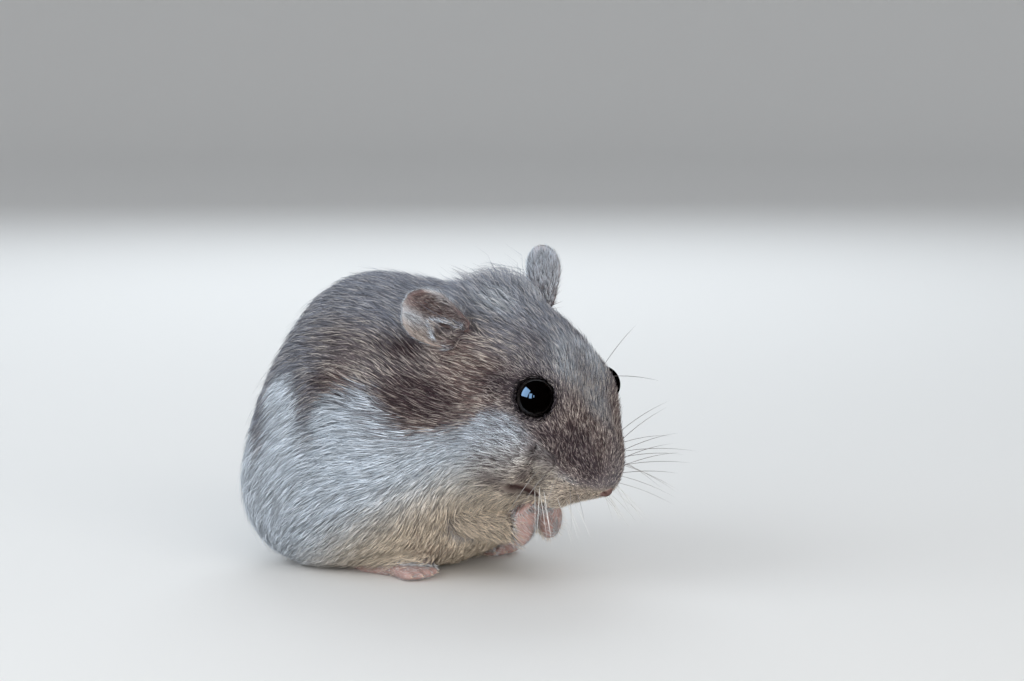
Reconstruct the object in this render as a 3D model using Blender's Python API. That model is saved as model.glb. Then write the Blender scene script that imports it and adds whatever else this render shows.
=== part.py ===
"""A dwarf hamster, life size, sitting hunched on its haunches with both forepaws up at its mouth.

Run it with   blender --background --python part.py   or from Blender's text editor.

Frame: metres, +Z up, +X the way the animal faces, +Y its left. The floor is Z = 0, and the
origin is on it, under the middle of the animal's box.

The flesh is a set of named masses (ellipsoids) that one smooth field blends, the way a
sculptor lumps clay together. Its surface is the outer line of the coat. Thin cuts then part
it into head, neck, trunk and hind legs, and the small parts that meet it (forelegs, paws,
feet, ears, eyes and tail) each press a seat into it, with a thin gap all round.
All sizes below are in millimetres, and MM turns them into Blender's metres.
"""

import math

import bmesh
import bpy
import numpy as np
from mathutils import Matrix, Vector

MM = 0.001
GAP = 0.35         # clear space between neighbouring solids
SEAT_LEVEL = 0.45  # how far a coarser seat stands off the limb that lies in it
MIDDLE_X = -4.4    # the middle of the animal's length, in the frame that the masses are set in

# ---------------------------------------------------------------- driving dimensions
TRUNK_BLEND = 2.2  # how widely the trunk's masses run into each other
HEAD_BLEND = 1.3
JOIN_BLEND = 2.4   # head into trunk
LIMB_BLEND = 0.5
FINGER_BLEND = 0.12

HEAD_PIVOT = (20.0, 0.0, 30.0)   # the point midway between the eyes
HEAD_PITCH = 40.0                # nose-down tilt, degrees
HEAD_YAW = -3.0                  # turn to the animal's left, degrees
EYE_OUT = 8.1                    # eye centre from the midline
EYE_RADIUS = 3.1

# name: centre (x, y, z), half sizes (x, y, z). A mass with y > 0 has a twin across the midline.
TRUNK_MASSES = {
    "rump": ((-21.0, 0.0, 19.0), (15.0, 20.0, 18.5)),
    "barrel": ((-9.0, 0.0, 22.0), (19.0, 21.0, 21.0)),
    "back": ((-17.0, 0.0, 31.0), (14.0, 14.5, 15.0)),
    "shoulders": ((3.5, 0.0, 28.0), (13.5, 14.5, 13.5)),
    "nape": ((-2.0, 0.0, 36.5), (10.0, 10.5, 7.5)),
    "chest": ((0.5, 0.0, 16.0), (10.5, 12.0, 11.0)),
    "belly": ((-9.0, 0.0, 12.2), (15.5, 17.5, 12.0)),
    "haunch": ((-19.5, 12.0, 11.5), (13.5, 10.0, 11.5)),
}
# The same, in the head's own frame: origin midway between the eyes, +X to the nose, before the tilt.
HEAD_MASSES = {
    "cranium": ((-8.0, 0.0, -3.0), (12.0, 9.8, 9.3)),
    "crown_tuft": ((-17.9, 0.0, 0.2), (3.4, 4.4, 3.2)),
    "brow": ((-1.0, 4.9, -1.2), (6.5, 4.0, 5.6)),
    "muzzle": ((5.0, 0.0, -4.6), (9.3, 6.6, 6.4)),
    "nose_tip": ((13.0, 0.0, -6.0), (2.0, 2.2, 2.0)),
    "lore": ((3.0, 4.4, -5.5), (5.5, 3.8, 5.5)),
    "whisker_pad": ((8.3, 3.0, -8.3), (5.0, 3.7, 4.2)),
    "cheek": ((-1.0, 6.4, -11.0), (8.5, 6.6, 7.0)),
    "chin": ((4.0, 0.0, -12.5), (5.5, 4.5, 3.6)),
    "throat": ((-5.0, 0.0, -13.0), (9.0, 8.0, 8.0)),
}
# The limbs' masses run from a start to an end: start, end, radius. They are the left side's.
FORELEG_MASSES = {
    "upper_arm": ((3.5, 8.0, 14.5), (6.5, 7.4, 10.0), 3.6),
    "forearm": ((7.0, 6.8, 10.0), (11.6, 4.8, 8.2), 2.6),
}
PALM = ((13.7, 3.9, 7.5), (14.3, 3.3, 10.5), 2.0)
FINGER_ROOT = (15.1, 2.9, 11.2)      # the middle of the knuckles
FINGER_REACH = (1.2, -0.5, 1.0)      # from knuckle to fingertip
FINGER_STEP = (-0.3, 1.2, 0.15)      # from one finger to the next, across the hand
FINGER_RADIUS = 0.55
FINGERS = 4
SOLE = ((-15.0, 11.0, 1.5), (-3.7, 10.9, 1.3), 2.1)
TOE_ROOT = (-3.3, 11.0, 0.95)        # the middle of the toes' roots
TOE_LENGTH = 4.6
TOE_SPREAD = 42.0                    # degrees from the first toe to the last
TOE_STEP = 0.95                      # between the toes' roots
TOE_RADIUS = 0.75
TOE_SHORTENING = 0.06                # the outer toes' loss of length, growing with the square of their place
TOES = 5
TAIL = ((-33.0, 0.0, 6.5), (-37.0, 0.0, 4.4), 1.5)
# In the head's frame: the bare pad of the nose, and the ellipsoid that parts the lower jaw.
NOSE = ((14.5, 0.0, -6.5), (1.5, 1.7, 1.4))
JAW_CUT = ((4.5, 0.0, -15.5), (5.6, 4.4, 4.2))

# Cuts that part the body: a point and the normal, which points to the nose.
HEAD_CUT = ((9.0, 0.0, 30.0), (0.97, 0.0, 0.24))
NECK_LENGTH = 6.0
THIGH_CUT = ((-24.0, 18.0, 9.0), (13.5, 9.5, 14.5))   # an ellipsoid that takes the left thigh out

# Ears: a leaf of gristle, cupped across and rolled at its front rim.
EAR_THICKNESS = 0.8
EAR_GRID = (11, 8)                   # points across the leaf, and along it
EAR_ROOT_WIDTH = 0.76                # the leaf's width at its root, as a share of that at its middle
EAR_TIP = 0.14                       # the least width of the leaf, as a share of the greatest
EAR_TIP_POWER = 2.6                  # how square the tip is; 2 is an ellipse
EAR_ROLL_START = 0.35                # where the front rim's roll starts, from the middle (0) to the rim (1)
EAR_CUP_ROOT = 75.0                  # half the arc across the leaf, degrees, at its root
EAR_CUP_TIP = 22.0                   # and near its tip, reached at this share of the leaf's length:
EAR_CUP_REACH = 0.62
# The root is in the head's frame. The tip from the root, and the way the hollow faces, are in the world's.
# The left ear is pricked and the right one is laid back.
EARS = {
    1: {
        "root": (-16.8, 8.2, 1.0),
        "reach": (-2.4, 3.2, 9.2),
        "facing": (0.1, 0.97, -0.1),
        "width": 7.0,
        "roll": 25.0,
    },
    -1: {
        "root": (-14.8, -10.7, -1.4),
        "reach": (-7.7, -4.4, 5.9),
        "facing": (0.6, -0.78, 0.15),
        "width": 9.0,
        "roll": 80.0,
    },
}

# Mesh size before thinning, and triangles after it
BODY_MESH = (1.5, 2320)
LIMB_MESH = (0.8, 220)
FOOT_MESH = (0.4, 340)
PAW_MESH = (0.28, 360)
TAIL_MESH = (0.6, 110)
MASS_DETAIL = 4                      # subdivisions of the spheres that the masses start from
THIGH_DETAIL = 3
HEAD_PIECE_DETAIL = 2
EYE_GRID = (14, 9)                   # segments round the eyeball, and from pole to pole
SHARP_ANGLE = 50.0                   # edges sharper than this, degrees, are shaded as creases

# Colours, linear RGB, each with its roughness
SLATE_FUR = ((0.105, 0.108, 0.125), 0.85)
GREY_FUR = ((0.16, 0.15, 0.15), 0.85)
PALE_FUR = ((0.52, 0.52, 0.54), 0.85)
PINK_SKIN = ((0.48, 0.26, 0.23), 0.5)
EYE_BLACK = ((0.006, 0.005, 0.005), 0.05)


# ---------------------------------------------------------------- the smooth field
def head_rotation():
    """From the head's own frame to the world's."""
    yaw = Matrix.Rotation(math.radians(HEAD_YAW), 3, "Z")
    pitch = Matrix.Rotation(math.radians(HEAD_PITCH), 3, "Y")
    return np.array(yaw @ pitch)


def in_head(point):
    """A point of the head's own frame, in the world."""
    return np.array(HEAD_PIVOT) + head_rotation() @ np.array(point)


def mirrored(masses):
    """(centre, half sizes, rotation) of each mass, with a twin across the midline where y > 0."""
    found = []
    for centre, sizes in masses.values():
        for side in (1, -1) if centre[1] > 0 else (1,):
            found.append((np.array(centre) * (1, side, 1), np.array(sizes), np.eye(3)))
    return found


def trunk_masses():
    return mirrored(TRUNK_MASSES)


def head_masses():
    turn = head_rotation()
    return [(in_head(centre), sizes, turn) for centre, sizes, _ in mirrored(HEAD_MASSES)]


def drawn_out(start, end, radius, side=1):
    """An ellipsoid that reaches from start to end and a radius past both; side -1 mirrors it."""
    start = np.array(start) * (1, side, 1)
    end = np.array(end) * (1, side, 1)
    along = Vector(end - start)
    turn = np.array(along.to_track_quat("Z", "Y").to_matrix())
    return (start + end) / 2, np.array((radius, radius, along.length / 2 + radius)), turn


def foreleg_masses(side):
    return [drawn_out(*mass, side) for mass in FORELEG_MASSES.values()]


def forepaw_masses(side):
    """The palm, and four fingers side by side curling to the mouth."""
    masses = [drawn_out(*PALM, side)]
    for number in range(FINGERS):
        root = np.array(FINGER_ROOT) + np.array(FINGER_STEP) * (number - (FINGERS - 1) / 2)
        masses.append(drawn_out(root, root + np.array(FINGER_REACH), FINGER_RADIUS, side))
    return masses


def hind_foot_masses(side):
    """The sole flat on the floor, and five toes fanned out in front of it."""
    masses = [drawn_out(*SOLE, side)]
    for number in range(TOES):
        place = number - (TOES - 1) / 2
        angle = math.radians(TOE_SPREAD * place / (TOES - 1))
        length = TOE_LENGTH * (1 - TOE_SHORTENING * place**2)
        root = np.array(TOE_ROOT) + (0, TOE_STEP * place, 0)
        tip = root + length * np.array((math.cos(angle), math.sin(angle), 0))
        masses.append(drawn_out(root, tip, TOE_RADIUS, side))
    return masses


def ellipsoid_distance(points, mass):
    """Near enough the distance from each point to the ellipsoid, negative inside."""
    centre, sizes, rotation = mass
    local = (points - centre) @ rotation
    scaled = np.linalg.norm(local / sizes, axis=1)
    slope = np.linalg.norm(local / sizes**2, axis=1)
    return scaled * (scaled - 1) / np.maximum(slope, 1e-9)


def blend(distances, width):
    """One smooth distance from several: a soft minimum."""
    stacked = np.stack(distances)
    least = stacked.min(0)
    return least - width * np.log(np.exp((least - stacked) / width).sum(0))


def blended(masses, width):
    return lambda points: blend([ellipsoid_distance(points, m) for m in masses], width)


def body_field(points):
    """Distance to the outer line of the coat, head and trunk together."""
    trunk = blended(trunk_masses(), TRUNK_BLEND)(points)
    head = blended(head_masses(), HEAD_BLEND)(points)
    return blend([trunk, head], JOIN_BLEND)


def settle(points, field, level=0.0, rounds=12):
    """Moves each point along the field's slope until it lies on the surface at that level."""
    step = 1e-3
    for _ in range(rounds):
        value = field(points) - level
        slope = np.stack(
            [(field(points + step * axis) - field(points - step * axis)) / (2 * step) for axis in np.eye(3)],
            axis=1,
        )
        steep = np.maximum((slope**2).sum(1), 0.05)
        points = points - (value / steep)[:, None] * slope
    return points


# ---------------------------------------------------------------- meshes
def material(name, colour, roughness):
    made = bpy.data.materials.new(name)
    made.use_nodes = True
    shader = made.node_tree.nodes["Principled BSDF"]
    shader.inputs["Base Color"].default_value = (*colour, 1)
    shader.inputs["Roughness"].default_value = roughness
    shader.inputs["Metallic"].default_value = 0.0
    made.diffuse_color = (*colour, 1)
    return made


def new_object(name, mesh, finish=None):
    """A node of the model, moved so that the origin lies under the middle of the animal."""
    mesh.name = name
    obj = bpy.data.objects.new(name, mesh)
    bpy.context.scene.collection.objects.link(obj)
    obj.location = (-MIDDLE_X * MM, 0, 0)
    mesh.materials.clear()
    if finish:
        mesh.materials.append(finish)
        mesh.shade_smooth()
        mesh.set_sharp_from_angle(angle=math.radians(SHARP_ANGLE))
    else:
        obj.hide_render = True
        obj.display_type = "WIRE"
    return obj


def evaluated_copy(obj):
    """The object's mesh with its modifiers applied; the object itself goes."""
    bpy.context.view_layer.update()
    graph = bpy.context.evaluated_depsgraph_get()
    mesh = bpy.data.meshes.new_from_object(obj.evaluated_get(graph))
    bpy.data.objects.remove(obj)
    return mesh


def ellipsoid_mesh(name, masses, detail):
    shape = bmesh.new()
    for centre, sizes, rotation in masses:
        place = Matrix.Translation(Vector(centre * MM)) @ Matrix(rotation.tolist()).to_4x4()
        place = place @ Matrix.Diagonal((*(sizes * MM), 1))
        bmesh.ops.create_icosphere(shape, subdivisions=detail, radius=1, matrix=place)
    mesh = bpy.data.meshes.new(name)
    shape.to_mesh(mesh)
    shape.free()
    return mesh


def sculpted(name, masses, field, fineness, level=0.0):
    """One closed mesh round the masses, fused by a voxel Remesh, drawn onto the field's surface and thinned."""
    cell, faces = fineness
    obj = new_object(name, ellipsoid_mesh(name, masses, MASS_DETAIL))
    fuse = obj.modifiers.new("fuse", "REMESH")
    fuse.mode = "VOXEL"
    fuse.voxel_size = cell * MM
    mesh = evaluated_copy(obj)
    points = np.empty(len(mesh.vertices) * 3)
    mesh.vertices.foreach_get("co", points)
    points = settle(points.reshape(-1, 3) / MM, field, level)
    mesh.vertices.foreach_set("co", (points * MM).ravel())
    mesh.update()
    mesh.calc_loop_triangles()
    ratio = faces / len(mesh.loop_triangles)
    obj = new_object(name, mesh)
    thin = obj.modifiers.new("thin", "DECIMATE")
    thin.ratio = min(1.0, ratio)
    return evaluated_copy(obj)


def cut_by_plane(mesh, point, normal):
    """Cuts the mesh by a plane, drops what lies behind it, and caps the cut with a flat face."""
    shape = bmesh.new()
    shape.from_mesh(mesh)
    geometry = shape.verts[:] + shape.edges[:] + shape.faces[:]
    plane = {"plane_co": Vector(point) * MM, "plane_no": Vector(normal)}
    cut = bmesh.ops.bisect_plane(shape, geom=geometry, dist=1e-7, clear_inner=True, **plane)
    rim = [edge for edge in cut["geom_cut"] if isinstance(edge, bmesh.types.BMEdge)]
    bmesh.ops.holes_fill(shape, edges=rim)
    bmesh.ops.triangulate(shape, faces=[face for face in shape.faces if len(face.verts) > 4])
    shape.to_mesh(mesh)
    shape.free()
    return mesh


def behind(point, distance, normal):
    """The point moved back along the normal."""
    return tuple(p - distance * n for p, n in zip(point, Vector(normal).normalized()))


def combined(mesh, cutter, operation):
    """The mesh less the cutter, or what the two share."""
    target = new_object("target", mesh)
    tool = new_object("tool", cutter)
    step = target.modifiers.new("combine", "BOOLEAN")
    step.operation = operation
    step.solver = "EXACT"
    step.object = tool
    result = evaluated_copy(target)
    bpy.data.objects.remove(tool)
    return result


def less(mesh, cutter):
    return combined(mesh, cutter, "DIFFERENCE")


def shared(mesh, cutter):
    return combined(mesh, cutter, "INTERSECT")


# ---------------------------------------------------------------- parts
def thigh_cutter(side, gap):
    """The ellipsoid that takes a thigh out of the trunk, all its half sizes larger by the gap."""
    centre, sizes = THIGH_CUT
    mass = (np.array(centre) * (1, side, 1), np.array(sizes) + gap, np.eye(3))
    return ellipsoid_mesh("thigh_cutter", [mass], THIGH_DETAIL)


def head_ellipsoid(mass, gap):
    """An ellipsoid set in the head's frame: the nose pad, or the cutter of the jaw."""
    centre, sizes = mass
    mass = (in_head(centre), np.array(sizes) + gap, head_rotation())
    return ellipsoid_mesh("head_ellipsoid", [mass], HEAD_PIECE_DETAIL)


def limb(name, masses, fineness, level=0.0, width=LIMB_BLEND):
    """A limb's mesh; with a level above zero, the cutter that seats it in its neighbour."""
    mesh = sculpted(name, masses, blended(masses, width), fineness, level)
    return cut_by_plane(mesh, (0, 0, 0), (0, 0, 1)) if level == 0 else mesh


def eyeball(side, radius):
    centre = in_head((0, EYE_OUT * side, 0))
    around, up = EYE_GRID
    place = Matrix.Translation(Vector(centre * MM))
    shape = bmesh.new()
    bmesh.ops.create_uvsphere(shape, u_segments=around, v_segments=up, radius=radius * MM, matrix=place)
    mesh = bpy.data.meshes.new("eye")
    shape.to_mesh(mesh)
    shape.free()
    return mesh


def ear_section(across, cup, roll):
    """How the leaf bends across: the heading at each place from -1 to 1, the last part rolled in."""
    past = np.clip((across - EAR_ROLL_START) / (1 - EAR_ROLL_START), 0, 1)
    heading = np.radians(cup * across + roll * past**2)
    step = np.diff(across, prepend=across[0])
    run = np.cumsum(np.cos(heading) * step)
    rise = np.cumsum(np.sin(heading) * step)
    middle = len(across) // 2
    return run - run[middle], rise - rise[middle]


def ear(side):
    """A cupped leaf between its root and its tip, given its thickness by a Solidify."""
    setting = EARS[side]
    root = in_head(setting["root"])
    reach = Vector(setting["reach"])
    up = reach.normalized()
    facing = Vector(setting["facing"])
    facing = (facing - facing.dot(up) * up).normalized()
    front = up.cross(facing)
    if front.x < 0:
        front = -front
    columns, rows = EAR_GRID
    shape = bmesh.new()
    bmesh.ops.create_grid(shape, x_segments=columns - 1, y_segments=rows - 1, size=1)
    across = np.linspace(-1, 1, columns)
    for vert in shape.verts:
        column = int(round((vert.co.x + 1) / 2 * (columns - 1)))
        height = (vert.co.y + 1) / 2
        cup = EAR_CUP_ROOT + (EAR_CUP_TIP - EAR_CUP_ROOT) * min(1.0, height / EAR_CUP_REACH)
        run, rise = ear_section(across, cup, setting["roll"] * height)
        if height < 0.5:
            taper = EAR_ROOT_WIDTH + (1 - EAR_ROOT_WIDTH) * 2 * height
        else:
            taper = math.sqrt(1 - (2 * height - 1) ** EAR_TIP_POWER)
        half = setting["width"] / 2 * max(taper, EAR_TIP)
        place = Vector(root) + reach * height + front * (half * run[column]) + facing * (half * rise[column])
        vert.co = place * MM
    mesh = bpy.data.meshes.new("ear")
    shape.to_mesh(mesh)
    shape.free()
    obj = new_object("ear", mesh)
    wall = obj.modifiers.new("wall", "SOLIDIFY")
    wall.thickness = EAR_THICKNESS * MM
    wall.offset = 0
    return evaluated_copy(obj)


def main():
    for obj in list(bpy.data.objects):
        bpy.data.objects.remove(obj)
    slate = material("slate_fur", *SLATE_FUR)
    grey = material("grey_fur", *GREY_FUR)
    pale = material("pale_fur", *PALE_FUR)
    pink = material("pink_skin", *PINK_SKIN)
    black = material("eye_black", *EYE_BLACK)

    everything = trunk_masses() + head_masses()
    point, normal = HEAD_CUT
    backward = tuple(-n for n in normal)
    body = sculpted("body", everything, body_field, BODY_MESH)
    body_seat = sculpted("body_seat", everything, body_field, BODY_MESH, SEAT_LEVEL)

    head = cut_by_plane(body.copy(), point, normal)
    neck = cut_by_plane(body.copy(), behind(point, GAP, normal), backward)
    neck = cut_by_plane(neck, behind(point, GAP + NECK_LENGTH, normal), normal)
    trunk = cut_by_plane(body.copy(), behind(point, 2 * GAP + NECK_LENGTH, normal), backward)
    trunk = cut_by_plane(trunk, (0, 0, 0), (0, 0, 1))

    new_object("tail", limb("tail", [drawn_out(*TAIL)], TAIL_MESH), pale)
    trunk = less(trunk, limb("tail_seat", [drawn_out(*TAIL)], TAIL_MESH, SEAT_LEVEL))

    for side, label in ((1, "left"), (-1, "right")):
        thigh = shared(trunk.copy(), thigh_cutter(side, 0))
        trunk = less(trunk, thigh_cutter(side, GAP))
        foot_seat = limb("foot_seat", hind_foot_masses(side), LIMB_MESH, SEAT_LEVEL)
        thigh = less(thigh, foot_seat.copy())
        trunk = less(trunk, foot_seat)
        new_object("hind_leg_" + label, thigh, pale)
        new_object("hind_foot_" + label, limb("hind_foot", hind_foot_masses(side), FOOT_MESH), pink)

        foreleg = limb("foreleg", foreleg_masses(side), LIMB_MESH)
        leg_seat = limb("leg_seat", foreleg_masses(side), LIMB_MESH, SEAT_LEVEL)
        trunk = less(trunk, leg_seat.copy())
        neck = less(neck, leg_seat.copy())
        head = less(head, leg_seat)
        palm_seat = limb("palm_seat", [drawn_out(*PALM, side)], TAIL_MESH, SEAT_LEVEL)
        new_object("foreleg_" + label, less(foreleg, palm_seat), pale)
        forepaw = limb("forepaw", forepaw_masses(side), PAW_MESH, width=FINGER_BLEND)
        new_object("forepaw_" + label, forepaw, pink)

        head = less(head, eyeball(side, EYE_RADIUS + GAP))
        new_object("eye_" + label, eyeball(side, EYE_RADIUS), black)
        new_object("ear_" + label, less(ear(side), body_seat.copy()), grey)

    new_object("nose", head_ellipsoid(NOSE, 0), pink)
    head = less(head, head_ellipsoid(NOSE, GAP))
    new_object("lower_jaw", shared(head.copy(), head_ellipsoid(JAW_CUT, 0)), pale)
    head = less(head, head_ellipsoid(JAW_CUT, GAP))
    new_object("head", head, grey)
    new_object("neck", neck, slate)
    new_object("trunk", trunk, slate)


main()
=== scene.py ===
# %% [markdown]
# # The looks of a dwarf hamster at its meal
#
# The frame holds the animal as plain solids at life size. This lesson dresses them: one skin over
# all the flesh, glossy eyes, a coat of some 227,000 small locks, whiskers and claws.
# The frame is loaded first, because every piece is placed by it. All lengths here are in
# millimetres, and one value turns them into Blender's metres when a mesh is made.

# %% Load the frame
import math

import bmesh
import bpy
import numpy as np
from mathutils import Matrix, Vector
from mathutils.bvhtree import BVHTree
from mathutils.kdtree import KDTree


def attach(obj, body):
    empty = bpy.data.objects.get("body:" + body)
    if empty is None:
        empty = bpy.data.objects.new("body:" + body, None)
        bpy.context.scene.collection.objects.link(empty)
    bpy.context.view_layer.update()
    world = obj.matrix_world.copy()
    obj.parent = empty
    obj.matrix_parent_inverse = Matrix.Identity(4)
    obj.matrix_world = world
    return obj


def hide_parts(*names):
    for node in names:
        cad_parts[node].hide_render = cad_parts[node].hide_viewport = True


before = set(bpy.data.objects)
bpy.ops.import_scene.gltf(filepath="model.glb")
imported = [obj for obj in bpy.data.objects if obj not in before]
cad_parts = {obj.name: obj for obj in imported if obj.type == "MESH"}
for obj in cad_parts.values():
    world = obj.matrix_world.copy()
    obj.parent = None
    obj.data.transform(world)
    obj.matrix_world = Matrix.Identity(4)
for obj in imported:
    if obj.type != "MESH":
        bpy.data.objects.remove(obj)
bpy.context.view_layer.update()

MM = 0.001
rng = np.random.default_rng(20)
print("frame:", sorted(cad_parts))

# %% [markdown]
# ## Where things are
#
# The head is tilted nose-down over the meal, so everything on it is easier to place in the head's
# own frame: x to the nose, y to the animal's left, z up, with the origin midway between the eyes.
# Two small functions go from that frame to the world's and back. The animal is the same on both
# sides, so a place is given once and mirrored.

# %% The head's own frame
HEAD_PIVOT = np.array((24.4, 0.0, 30.0))
HEAD_PITCH = 40.0
HEAD_YAW = -3.0
HEAD_TURN = np.array(
    Matrix.Rotation(math.radians(HEAD_YAW), 3, "Z") @ Matrix.Rotation(math.radians(HEAD_PITCH), 3, "Y")
)
EYE_OUT = 8.1
EYE_RADIUS = 3.1
NOSE_TIP = (15.2, 0.0, -6.2)


def in_head(place):
    """A point of the head's own frame, in the world."""
    return HEAD_PIVOT + HEAD_TURN @ np.array(place, float)


def head_coords(points):
    """Points of the world, in the head's own frame."""
    return (points - HEAD_PIVOT) @ HEAD_TURN


def unit(vectors):
    """Vectors of length 1, along the last axis."""
    return vectors / np.maximum(np.linalg.norm(vectors, axis=-1, keepdims=True), 1e-9)


EYES = {"right": in_head((0, -EYE_OUT, 0)), "left": in_head((0, EYE_OUT, 0))}
SIDES = {"right": -1.0, "left": 1.0}
print("eyes at", {side: np.round(place, 1).tolist() for side, place in EYES.items()})

# %% [markdown]
# ## Camera
#
# A small animal is portrayed from its own height with a long lens, which keeps its proportions. The
# camera stands off along one line from the near eye, and looks a little past it, so that the animal
# sits low and left in the frame.

# %% Camera
CAMERA_AZIMUTH = 35.0
CAMERA_ELEVATION = 9.0
CAMERA_DISTANCE = 430.0
CAMERA_LENS = 100.0
CAMERA_AIM = (20.5, -9.46, 38.6)
azimuth, elevation = math.radians(CAMERA_AZIMUTH), math.radians(CAMERA_ELEVATION)
to_camera = Vector(
    (math.sin(azimuth) * math.cos(elevation), -math.cos(azimuth) * math.cos(elevation), math.sin(elevation))
)
NEAR_EYE = Vector((24.4, -8.4, 30.0))
camera = bpy.data.objects.new("camera", bpy.data.cameras.new("camera"))
bpy.context.scene.collection.objects.link(camera)
camera.data.lens = CAMERA_LENS
camera.data.clip_start = 0.01
camera.location = (NEAR_EYE + to_camera * CAMERA_DISTANCE) * MM
camera.rotation_mode = "QUATERNION"
camera.rotation_quaternion = (Vector(CAMERA_AIM) * MM - camera.location).to_track_quat("-Z", "Y")
bpy.context.scene.camera = camera
print("camera at", [round(x, 3) for x in camera.location])

# %% [markdown]
# ## Shader maths as expressions
#
# Materials are nodes, but a sum reads better as a sum. `Wire` wraps one socket: a Python operator on
# it adds the Math node and gives back a Wire. `node` adds any other node, and `masks` reads the four
# numbers that a mesh keeps in a colour attribute. Colours never go through Math nodes, which would
# turn them grey, so `tint` mixes them with a Mix node.


# %% A wire of a material
class Wire:
    """A socket of a material's tree, for use in expressions."""

    def __init__(self, tree, socket=None):
        self.tree, self.socket = tree, socket

    def node(self, kind, settings=None, values=None, out=0):
        """Adds a node: its settings first, then the values or links of its sockets."""
        made = self.tree.nodes.new(kind)
        for key, setting in (settings or {}).items():
            setattr(made, key, setting)
        for key, value in (values or {}).items():
            if isinstance(value, Wire):
                self.tree.links.new(value.socket, made.inputs[key])
            else:
                made.inputs[key].default_value = value
        return Wire(self.tree, made.outputs[out])

    def maths(self, operation, first, second):
        return self.node("ShaderNodeMath", {"operation": operation}, {0: first, 1: second})

    def __add__(self, other):
        return self.maths("ADD", self, other)

    def __sub__(self, other):
        return self.maths("SUBTRACT", self, other)

    def __rsub__(self, other):
        return self.maths("SUBTRACT", other, self)

    def __mul__(self, other):
        return self.maths("MULTIPLY", self, other)

    __radd__, __rmul__ = __add__, __mul__

    def rise(self, low, high):
        """0 below low, 1 above high, and smooth between them."""
        return self.node(
            "ShaderNodeMapRange",
            {"interpolation_type": "SMOOTHSTEP"},
            {"Value": self, "From Min": low, "From Max": high},
        )

    def masks(self, name):
        """The red, green, blue and alpha of a colour attribute, as four wires."""
        colour = self.node("ShaderNodeAttribute", {"attribute_name": name}, out="Color")
        alpha = self.node("ShaderNodeAttribute", {"attribute_name": name}, out="Alpha")
        split = self.node("ShaderNodeSeparateColor", {}, {"Color": colour})
        return *(Wire(self.tree, socket) for socket in split.socket.node.outputs), alpha


def tint(share, first, second, blend="MIX"):
    """The first colour going over to the second as the share goes from 0 to 1."""
    wire = next(value for value in (share, first, second) if isinstance(value, Wire))
    first, second = (value if isinstance(value, Wire) else (*value, 1.0) for value in (first, second))
    settings = {"data_type": "RGBA", "blend_type": blend}
    return wire.node("ShaderNodeMix", settings, {0: share, 6: first, 7: second}, 2)


def finish_of(name, **constants):
    """A new material with constants on its shader's own sockets, and a Wire to start from."""
    material = bpy.data.materials.new(name)
    material.use_nodes = True
    shader = material.node_tree.nodes["Principled BSDF"]
    for key, value in constants.items():
        shader.inputs[key.replace("_", " ").title().replace("Ior", "IOR")].default_value = value
    return material, shader, Wire(material.node_tree)


def plug(wire, shader, socket):
    """Links a wire to one of the shader's sockets."""
    wire.tree.links.new(wire.socket, shader.inputs[socket])


print("a Wire knows", [name for name in vars(Wire) if name.startswith("__r")])

# %% [markdown]
# ## Working with meshes as arrays
#
# A skin of a hundred thousand points is too slow to shape one point at a time in Python. These
# helpers hand a mesh's points, edges and normals over as arrays, in millimetres, and put arrays
# back. `opened` and `closed` go from a mesh to a bmesh and back. `smoothed` draws every value towards
# its neighbours' mean: it works for places and for anything else that a point carries.


# %% Meshes as arrays
def link(name, data):
    """An object of a mesh or a lamp, in the scene."""
    made = bpy.data.objects.new(name, data)
    bpy.context.scene.collection.objects.link(made)
    return made


def opened(mesh):
    """A bmesh of a mesh, to be edited."""
    shape = bmesh.new()
    shape.from_mesh(mesh)
    return shape


def closed(shape, name):
    """The mesh of a bmesh that is done with."""
    mesh = bpy.data.meshes.new(name)
    shape.to_mesh(mesh)
    shape.free()
    return mesh


def read(items, key, width, kind=np.float64):
    """One property of all of a mesh's items, as an array of rows."""
    values = np.empty(len(items) * width, kind)
    items.foreach_get(key, values)
    return values.reshape(-1, width)


def points_of(mesh):
    return read(mesh.vertices, "co", 3) / MM


def edges_of(mesh):
    return read(mesh.edges, "vertices", 2, np.int32)


def normals_of(mesh):
    return read(mesh.vertex_normals, "vector", 3)


def put_points(mesh, points):
    mesh.vertices.foreach_set("co", (points * MM).astype(np.float32).ravel())
    mesh.update()


def smoothed(values, edges, rounds):
    """Values at a mesh's points, each drawn half the way to its neighbours' mean, some rounds."""
    shape = values.shape
    values = values.reshape(len(values), -1).astype(float)
    first, second = edges.T
    count = np.bincount(edges.ravel(), minlength=len(values))[:, None]
    for _ in range(rounds):
        total = np.empty_like(values)
        for column in range(values.shape[1]):
            total[:, column] = np.bincount(first, values[second, column], len(values)) + np.bincount(
                second, values[first, column], len(values)
            )
        values += 0.5 * (total / np.maximum(count, 1) - values)
    return values.reshape(shape)


def with_modifier(mesh, kind, chosen=None, **settings):
    """The mesh after one modifier, which may work on chosen points alone."""
    holder = link("work", mesh)
    modifier = holder.modifiers.new(kind, kind)
    if chosen is not None:
        holder.vertex_groups.new(name="chosen").add(np.flatnonzero(chosen).tolist(), 1.0, "REPLACE")
        modifier.vertex_group = "chosen"
    for key, value in settings.items():
        setattr(modifier, key, value)
    made = bpy.data.meshes.new_from_object(holder.evaluated_get(bpy.context.evaluated_depsgraph_get()))
    bpy.data.objects.remove(holder)
    return made


def bump_at(points, centre, reach):
    """1 at a centre, falling softly to 0 over its reach, one number or three."""
    return np.exp(-(((points - np.array(centre)) / np.array(reach)) ** 2).sum(1))


def step(values, low, high):
    """0 below low, 1 above high, and smooth between them."""
    t = np.clip((values - low) / (high - low), 0, 1)
    return t * t * (3 - 2 * t)


def span(points, place):
    """How far each point is from a place."""
    return np.linalg.norm(points - place, axis=1)


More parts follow.
